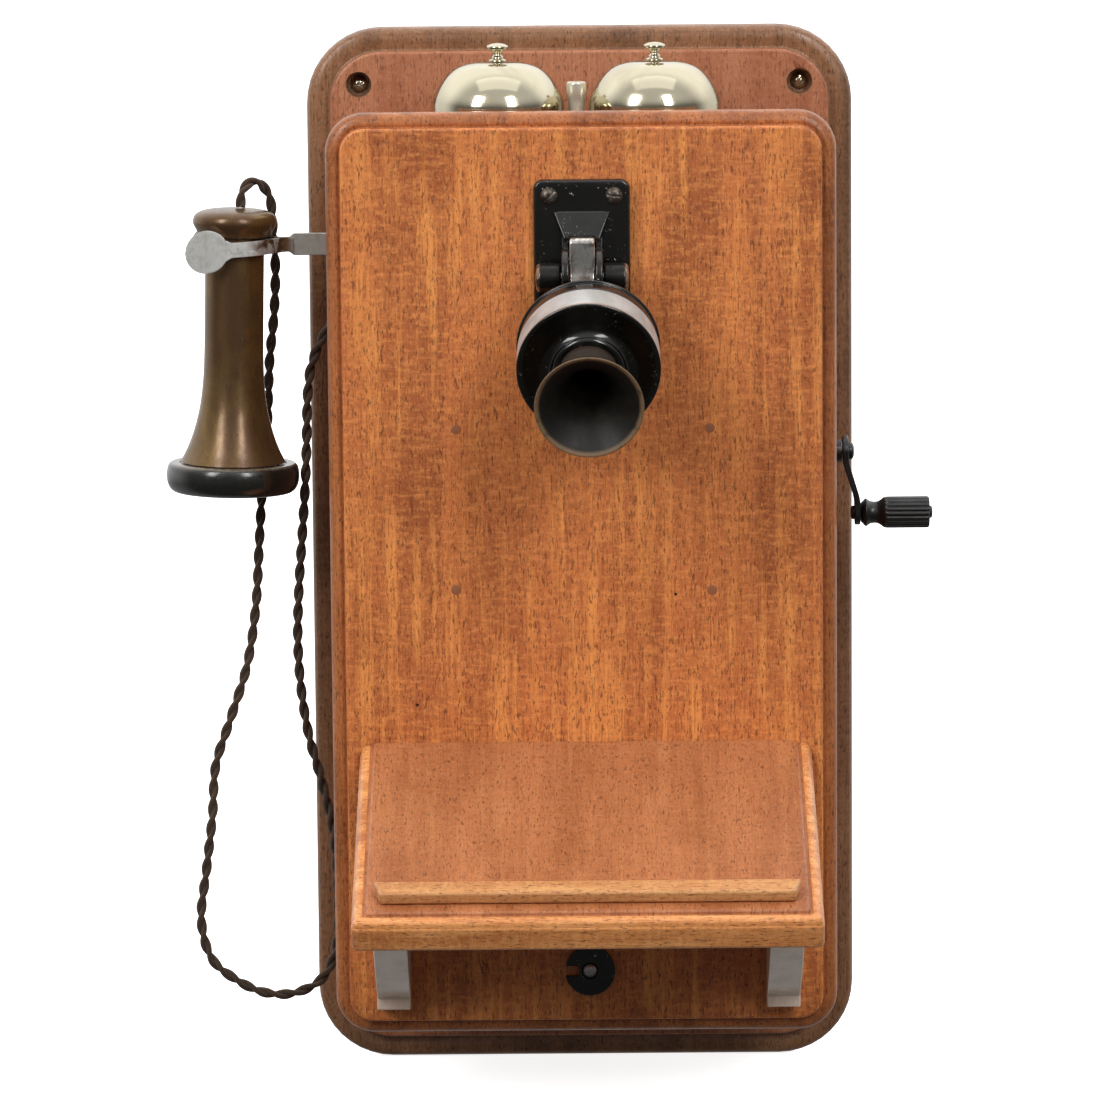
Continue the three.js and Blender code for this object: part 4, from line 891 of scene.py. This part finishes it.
def shelf():
    """The sloping writing shelf, moulded round its edge, and its lip."""
    half, length, thick = 107.4, 154.6, 16.2
    profile = rounded([(0.5, -thick), (0, -thick + 0.8, 0.5), (0, -5.4, 0.6), (0.5, -4.6, 0.3), (1.1, -1.8, 1.6),
                       (4.6, -1, 1.4), (5.2, -1.6, 0.2), (6.1, -1.6, 0.2), (6.5, -0.5, 0.3), (7.4, 0, 0.5),
                       (8.6, 0), (10, 0)], steps=4)
    board = moulded_board("shelf_fine", (-half, -40), (half, length), 3.2, [tuple(p) for p in profile], ON_SLOPE,
                          shelf_wood, front_wood, sum(1 for p in profile if p[0] < 4.9))
    slice_off(board, (0, -130.35, 0), (0, 1, 0))
    for side in (-1, 1):
        slice_off(board, ON_SLOPE @ Vector((side * (half - 3.4), 0, 0)), ON_SLOPE.to_3x3() @ Vector((side, -1, 0)))
    board.data.set_sharp_from_angle(angle=math.radians(35))
    belongs(board, "door", "walnut", "shelf_board")

    section = [(-97.5, 130.8), (97.5, 130.8), (94.4, 141.7), (-94.4, 141.7)]
    strip = slab("lip_fine", section, 0.1, 6.4, ON_SLOPE, lip_wood)
    soften(strip, 1.5, 4, 40)
    belongs(strip, "door", "walnut", "shelf_lip")


def brackets():
    """The two curved boards that carry the shelf."""
    under = [(-130.35, -94.9), (-222.5, -131.2), (-224.6, -133.4)]
    concave = [(-224.4 + 82.1 * t + 14 * math.sin(math.pi * t) * 0.55, -134.8 - 63.5 * t - 9 * math.sin(math.pi * t))
               for t in (i / 14 for i in range(15))]
    side = under + [(y, z) for y, z in concave] + [(-142.3, -204), (-130.35, -204)]
    for name, x in (("left", -91.8), ("right", 94.0)):
        plate = slab(f"bracket_fine_{name}", side, x - 8, x + 8, SIDEWAYS, bracket_wood)
        soften(plate, 0.8, 3, 30)
        belongs(plate, "door", "pale_wood", f"shelf_bracket_{name}")


def lock():
    """The lock: a notched black disc, its screw, shank and cam."""
    x, z, radius = 1.8, -187.6, 12
    outline = []
    for i in range(61):
        angle = math.pi + math.asin(2.4 / radius) + (2 * math.pi - 2 * math.asin(2.4 / radius)) * i / 60
        outline.append((x + radius * math.cos(angle), z + radius * math.sin(angle)))
    outline += [(x - 5.4, z + 2.4), (x - 4.9, z), (x - 5.4, z - 2.4)]
    disc = slab("lock_fine", outline, 130.3, 133.6, FACING, japan)
    recess = turn("recess", rounded([(0, 132.4), (3.8, 132.4), (4.1, 134), (0, 134)]), (x, 0, z), (0, -1, 0), japan,
                  segments=32)
    cut_out(disc, recess)
    soften(disc, 0.5, 3, 40)
    shank = turn("lock_shank", [(0, 105.5), (3, 105.5), (3, 130.5), (0, 130.5)], (x, 0, z), (0, -1, 0), bright_steel,
                 segments=32)
    cam = soften(slab("lock_cam", [(x - 3.5, z - 3.5), (x + 11.4, z - 3.5), (x + 11.4, z + 3.5), (x - 3.5, z + 3.5)],
                      105.5, 108, FACING, bright_steel), 0.4, 2)
    belongs(disc, "lock", "japan", "lock_disc")
    belongs(shank, "lock", "steel")
    belongs(cam, "lock", "steel")
    screw = screw_head("lock_screw_fine", (x, -132.5, z), (0, -1, 0), 3.3, 1.2, True, bright_steel, 35)
    belongs(screw, "lock", "steel", "lock_screw")


# ---------------------------------------------------------------- transmitter

PITCH = math.radians(19)
HEAD = Vector((3, -163, 116.2))
HEAD_AXIS = Vector((0, -math.cos(PITCH), -math.sin(PITCH)))


def bracket():
    """The japanned plate, boss and ears that hold the transmitter, with screws and pivot."""
    x, top, bottom = 0.5, 191.1, 111
    plate = moulded_board("bracket_plate", (x - 22.7, bottom), (x + 22.7, top), 4.5,
                          [tuple(p) for p in rounded([(0, 130.3), (0, 135.3, 2.2), (3, 135.4), (4, 135.4)], 6)],
                          FACING, japan)
    slope = [(x - 13.8, 176.6), (x + 13.8, 176.6), (x + 10.2, 165), (x + 10.2, 124), (x - 10.2, 124),
             (x - 10.2, 165)]
    vertices = [(a, b, 134.6) for a, b in slope] + [(x - 13.2, 176.2, 135.8), (x + 13.2, 176.2, 135.8),
                (x + 8.6, 164.6, 142.4), (x + 8.6, 126, 142.4), (x - 8.6, 126, 142.4), (x - 8.6, 164.6, 142.4)]
    faces = [list(range(6)), [6, 7, 8, 11], [11, 8, 9, 10]] + bridge(range(6), range(6, 12))
    boss = soften(piece("boss", vertices, faces, japan, FACING), 0.9, 3, 25)
    throat = slab("throat", [(x - 6.1, 121), (x + 6.1, 121), (x + 6.1, 165.3), (x - 6.1, 165.3)], 135.4, 170,
                  FACING, japan)
    apply_modifiers(boss)
    cut_out(boss, throat)
    flatten(boss, 12)
    ears = []
    for low, high in ((x - 9.6, x - 6.1), (x + 6.1, x + 9.6)):
        outline = [(-131.3, 128), (-131.3, 166.8), (-136, 166.4)]
        outline += [(-150 + 14.5 * math.cos(a), 146.4 + 14.5 * math.sin(a))
                    for a in (math.radians(78 + 204 * i / 28) for i in range(29))]
        ear = slab("ear", outline, low, high, SIDEWAYS, japan)
        ears.append(apply_modifiers(soften(ear, 0.9, 4, 40)))
    whole = join("bracket_fine", plate, boss, *ears)
    belongs(whole, "door", "japan", "transmitter_bracket")

    places = [(x + side * 15.2, z) for z in (183.5, 118.6) for side in (-1, 1)]
    for number, ((sx, sz), spin) in enumerate(zip(places, (-40, 8, 65, 20))):
        screw = screw_head(f"bracket_screw_fine_{number + 1}", (sx, -135.6, sz), (0, -1, 0), 4.1, 2.2, True,
                           screw_steel, -spin)
        belongs(screw, "door", "steel", f"bracket_screw_{number + 1}")

    profile = [tuple(p) for p in rounded([(0, 0), (6, 0, 0.3), (6.8, 0.8, 0.4), (6.8, 10.4, 0.9), (5.4, 11.6, 0.8),
                                          (0, 12)], steps=4)]
    wings = [turn("wing", profile, (x + side * 9.9, -150, 146.4), (side, 0, 0), bolt_finish(x), segments=64)
             for side in (-1, 1)]
    core = turn("core", [(0, -9.9), (2.5, -9.9), (2.5, 9.9), (0, 9.9)], (x, -150, 146.4), (1, 0, 0), bright_steel,
                segments=24)
    belongs(join("pivot_fine", *wings, core), "door", "japan", "pivot_bolt")


def bolt_finish(middle):
    """Dark metal rubbed bright at its outer rims."""
    finish = Finish("bolt_dark_metal", Metallic=0.7)
    out = finish.sum("ABSOLUTE", finish.along((middle, 0, 0), (1, 0, 0)), 0)
    wear = finish.noise(finish.place((0.3, 0.3, 0.3)), 1.0, 5, 0.7)
    rubbed = finish.sum("MULTIPLY", finish.band(out, 19.6, 20.8), finish.band(wear, 0.35, 0.55))
    dark = finish.mix(finish.band(wear, 0.4, 0.7), srgb(46, 44, 42), srgb(30, 28, 26))
    finish.set("Base Color", finish.mix(rubbed, dark, srgb(176, 150, 128)))
    finish.set("Roughness", finish.band(wear, 0.3, 0.7, 0.2, 0.36))
    finish.relief((wear, 0.02))
    return finish.material


def transmitter_arm():
    """The curved arm from the pivot to the back of the transmitter."""
    finish = Finish("arm_worn_nickel", Metallic=1.0)
    blotch = finish.noise(finish.place((0.16, 0.16, 0.12), shift=(1, 3, 0)), 1.0, 5, 0.6, 0.6)
    copper = finish.noise(finish.place((0.22, 0.1, 0.09), shift=(6, 0, 2)), 1.0, 4, 0.6, 0.4)
    height = finish.along((0, 0, 146), (0, 0, 1))
    color = finish.mix(finish.band(blotch, 0.42, 0.62), srgb(222, 218, 212), srgb(128, 118, 108))
    patch = finish.sum("MULTIPLY", finish.band(copper, 0.4, 0.52), finish.band(height, 8, -6))
    finish.set("Base Color", finish.mix(patch, color, srgb(206, 146, 116)))
    finish.set("Roughness", finish.band(blotch, 0.3, 0.7, 0.1, 0.3))
    finish.relief((blotch, 0.03))
    hub, y, z = 14.2, -150, 146.4
    back = HEAD - HEAD_AXIS * 0.3
    along = Vector((0, -math.sin(PITCH), math.cos(PITCH)))
    behind = Vector((0, math.cos(PITCH), math.sin(PITCH)))

    def spot(up, out):
        point = back + along * up + behind * out
        return (point.y, point.z)

    outline = [spot(-9, 0), spot(16, 0), (y - 13.4, z + 2)]
    outline += rounded([(y - 13.4, z + 8), (y - 13, z + 19.6, 3), (y - 2, z + 19.6, 2.5), (y - 1.4, z + 14.1)])
    outline += [(y + hub * math.cos(a), z + hub * math.sin(a)) for a in
                (math.radians(80 - 125 * i / 24) for i in range(25))]
    outline += [(-141.5, z - hub + 3.4), spot(-3, 10.5), spot(-9, 6)]
    lever = slab("arm_fine", outline, -5.4, 6.4, SIDEWAYS, finish.material)
    bore = turn("bore", [(0, -20), (2.9, -20), (2.9, 20), (0, 20)], (0.5, y, z), (1, 0, 0), finish.material,
                segments=24)
    cut_out(lever, bore)
    soften(lever, 1.0, 4, 40)
    pad = turn("arm_pad", [tuple(p) for p in rounded([(0, -0.3), (12, -0.3), (12, -3, 0.8), (0, -3.2)])], HEAD,
               HEAD_AXIS, finish.material, segments=64)
    belongs(lever, "transmitter", "nickel", "transmitter_arm")
    belongs(pad, "transmitter", "nickel")


def transmitter():
    """The transmitter: back, nickel band, dished face and flared mouthpiece."""
    radius = 33.2
    back = rounded([(0, 0), (31.4, 0, 0.4), (33.5, 0.5, 0.5), (33.5, 1.8, 0.5), (32.5, 2.2, 0.3), (32.7, 3.2, 0.8),
                    (32.7, 8.6, 0.5), (32.1, 9.2, 0.3), (31.9, 9.6), (0, 9.6)], steps=4)
    rear = turn("transmitter_rear", [tuple(p) for p in back], HEAD, HEAD_AXIS, gloss_japan, segments=144)
    belongs(rear, "transmitter", "japan", "transmitter_back")
    band = rounded([(28, 9.9), (32.6, 9.9, 0.2), (radius, 10.5, 0.4), (radius, 26, 0.3), (radius - 0.4, 26.4),
                    (28, 26.4)], steps=4)
    band = [tuple(p) for p in band]
    ring = turn("transmitter_ring", band + [band[0]], HEAD, HEAD_AXIS, band_finish(), segments=144)
    belongs(ring, "transmitter", "nickel", "transmitter_band")
    face = rounded([(6.8, 24), (27.7, 24), (27.7, 26.7), (33, 26.7, 0.3), (33.5, 27.2, 0.4), (33.4, 28.1, 0.6),
                    (31.6, 28.6, 1.2), (27, 27.4, 4), (21, 26.2, 5), (17.6, 28, 2.8), (16.6, 30.4, 1.4), (14.4, 30.9),
                    (6.8, 30.9)], steps=9)
    face = [tuple(p) for p in face]
    dish = turn("transmitter_dish", face + [face[0]], HEAD, HEAD_AXIS, gloss_japan, segments=144)
    belongs(dish, "transmitter", "japan", "transmitter_face")
    outer = [(13.8, 30.9), (13.7, 32.6), (12.6, 35), (11.4, 38), (11.1, 42), (11.6, 47), (13, 52), (15.6, 57),
             (19.4, 62), (23.2, 66), (25.1, 67.6)]
    inner = [(24.5, 68.1), (22.4, 66.4), (18.4, 62.2), (14.6, 57.2), (11.8, 52), (10, 47), (8.6, 42), (7.6, 38),
             (6.9, 34), (6.8, 31)]
    line = [p.xy for p in smooth_line([Vector((a, b, 0)) for a, b in outer + inner], 5)]
    horn = turn("mouthpiece_fine", [(6.8, 26.6), (9.2, 26.6), (9.2, 30.6)] + [tuple(p) for p in line] + [(6.8, 26.6)],
                HEAD, HEAD_AXIS, horn_finish(), segments=128)
    belongs(horn, "transmitter", "ebonite", "mouthpiece")


def band_finish():
    """Nickel band with a dulled middle and warm wear at its front rim."""
    finish = Finish("band_worn_nickel", Metallic=0.4, Specular_IOR_Level=0.7)
    depth = finish.along(HEAD, HEAD_AXIS)
    blotch = finish.noise(finish.place((0.07, 0.07, 0.07), shift=(3, 1, 0)), 1.0, 5, 0.6, 0.5)
    color = finish.mix(finish.band(blotch, 0.4, 0.66, 0.0, 0.6), srgb(200, 201, 199), srgb(152, 148, 141))
    finish.set("Base Color", finish.mix(finish.band(depth, 24.9, 26.2, 0.0, 0.75), color, srgb(160, 122, 98)))
    finish.set("Roughness", finish.band(blotch, 0.3, 0.7, 0.34, 0.5))
    fine = finish.noise(finish.place((1.5, 1.5, 1.5)), 1.0, 3, 0.6)
    finish.relief((fine, 0.006))
    return finish.material


def horn_finish():
    """Ebonite horn: browned round its rim, neck and throat, with dust inside."""
    finish = Finish("horn_ebonite", Specular_IOR_Level=0.35)
    depth = finish.along(HEAD, HEAD_AXIS)
    wear = finish.noise(finish.place((0.18, 0.18, 0.18)), 1.0, 5, 0.7, 0.3)
    dust = finish.noise(finish.place((1.2, 1.2, 1.2)), 1.0, 5, 0.75)
    color = finish.mix(finish.band(wear, 0.35, 0.7), srgb(14, 12, 8), srgb(27, 21, 14))
    color = finish.mix(finish.band(depth, 44, 34, 0.0, 0.5), color, srgb(64, 46, 32))
    color = finish.mix(finish.sum("MULTIPLY", finish.band(depth, 66.4, 67.8), finish.band(wear, 0.3, 0.5, 0.4, 1)),
                       color, srgb(120, 96, 70))
    color = finish.mix(finish.band(dust, 0.52, 0.78, 0.0, 0.18), color, srgb(88, 74, 52))
    finish.set("Base Color", color)
    finish.set("Roughness", finish.band(wear, 0.3, 0.7, 0.46, 0.6))
    finish.relief((wear, 0.05), (dust, 0.02))
    return finish.material


# ---------------------------------------------------------------- pieces kept from the CAD part

KEPT = {
    "case_left_side": side_wood, "case_right_side": side_wood, "case_top": inner_wood, "case_bottom": inner_wood,
    "magneto_shelf": inner_wood, "gong_post_left": bright_steel, "gong_post_right": bright_steel,
    "ringer_frame": brass, "ringer_coil_left": coil_thread, "ringer_coil_right": coil_thread,
    "ringer_armature": bright_steel, "magneto_frame": brass, "magneto_magnets": magnet_paint,
    "magneto_rotor": bright_steel, "crank_bush": brass, "crank_shaft": bright_steel, "drive_gear": brass,
    "hook_bracket": brass, "contact_springs": brass, "receiver_diaphragm": bright_steel, "cord_bush": ebonite,
    "induction_coil": induction_thread, "hinge_case_upper": brass, "hinge_case_lower": brass,
    "hinge_door_upper": brass, "hinge_door_lower": brass,
}


def dress_frame():
    """Gives every CAD node that stays in view its finish and soft shading."""
    for name, material in KEPT.items():
        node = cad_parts[name]
        node.data.materials.clear()
        node.data.materials.append(material)
        node.data.set_sharp_from_angle(angle=math.radians(32))


# ---------------------------------------------------------------- camera, light and floor

FRONT_GLOW = 0.18
TOP_GLOW = 0.55


def camera():
    """A long lens in front of the telephone and a little above it."""
    place = Vector((-7, -2800, 390))
    ahead = (Vector((-16.12, 0, -2.98)) - place).normalized()
    right = ahead.cross(Vector((0, 0, 1))).normalized()
    up = right.cross(ahead)
    roll = -0.0084
    side = right * math.cos(roll) + up * math.sin(roll)
    top = up * math.cos(roll) - right * math.sin(roll)
    lens = bpy.data.cameras.new("camera")
    lens.sensor_width = 36
    lens.lens = 186.3
    lens.clip_end = 100
    made = bpy.data.objects.new("camera", lens)
    made.matrix_world = Matrix.Translation(place * MM) @ Matrix((side, top, -ahead)).transposed().to_4x4()
    bpy.context.collection.objects.link(made)
    bpy.context.scene.camera = made


def softbox(name, place, target, width, height, power):
    """A rectangular light at a place, turned towards the target, that the camera does not see."""
    lamp = bpy.data.lights.new(name, "AREA")
    lamp.shape = "RECTANGLE"
    lamp.size, lamp.size_y = width * MM, height * MM
    lamp.energy = power
    made = bpy.data.objects.new(name, lamp)
    direction = Vector(target) - Vector(place)
    made.matrix_world = Matrix.Translation(Vector(place) * MM) @ direction.to_track_quat("-Z", "Y").to_matrix().to_4x4()
    made.visible_camera = False
    bpy.context.collection.objects.link(made)


def surroundings():
    """A studio that is white behind and overhead, and dim in front of the object and below it."""
    world = bpy.data.worlds.new("studio")
    world.use_nodes = True
    tree = world.node_tree
    direction = tree.nodes.new("ShaderNodeTexCoord").outputs["Generated"]
    split = tree.nodes.new("ShaderNodeSeparateXYZ")
    tree.links.new(direction, split.inputs[0])

    def share(value, low, high, to_low, to_high):
        made = tree.nodes.new("ShaderNodeMapRange")
        made.interpolation_type = "SMOOTHSTEP"
        tree.links.new(value, made.inputs["Value"])
        for key, number in (("From Min", low), ("From Max", high), ("To Min", to_low), ("To Max", to_high)):
            made.inputs[key].default_value = number
        return made.outputs[0]

    total = tree.nodes.new("ShaderNodeMath")
    tree.links.new(share(split.outputs[1], -0.3, 0.3, FRONT_GLOW, 1.0), total.inputs[0])
    tree.links.new(share(split.outputs[2], 0.1, 0.6, 0.0, TOP_GLOW), total.inputs[1])
    floored = tree.nodes.new("ShaderNodeMath")
    floored.operation = "MULTIPLY"
    tree.links.new(total.outputs[0], floored.inputs[0])
    tree.links.new(share(split.outputs[2], -0.25, 0.0, 0.4, 1.0), floored.inputs[1])
    backdrop = tree.nodes["Background"]
    backdrop.inputs["Color"].default_value = (1, 1, 1, 1)
    tree.links.new(floored.outputs[0], backdrop.inputs["Strength"])
    bpy.context.scene.world = world


def studio():
    """Three softboxes, the surroundings and a plain white floor."""
    bpy.context.scene.view_settings.view_transform = "Standard"
    softbox("left softbox", (-1300, -1700, 1250), (0, -60, 20), 600, 1300, 22)
    softbox("right softbox", (850, -1900, 1250), (0, -60, 20), 500, 1300, 18)
    softbox("top light", (0, -500, 1900), (0, -60, 0), 1800, 900, 3)
    surroundings()
    paper = Finish("floor_paper", Roughness=0.8, Emission_Strength=0.85)
    mottle = paper.noise(paper.place((0.01, 0.01, 0.01)), 1.0, 3, 0.5)
    paper.set("Base Color", paper.mix(mottle, srgb(250, 250, 250), srgb(246, 246, 246)))
    paper.set("Emission Color", (1, 1, 1, 1))
    floor = slab("floor", [(-40000, -15000), (40000, -15000), (40000, 60000), (-40000, 60000)], -265, -257.4,
                 Matrix(), paper.material)
    floor.visible_diffuse = False
    floor.visible_glossy = False


camera()
receiver_cord()
backboard()
door()
for side_name, gong_x in (("left", -39), ("right", 36)):
    gong(side_name, gong_x)
clapper()
receiver()
hook()
crank()
shelf()
brackets()
lock()
bracket()
transmitter_arm()
transmitter()
dress_frame()
studio()
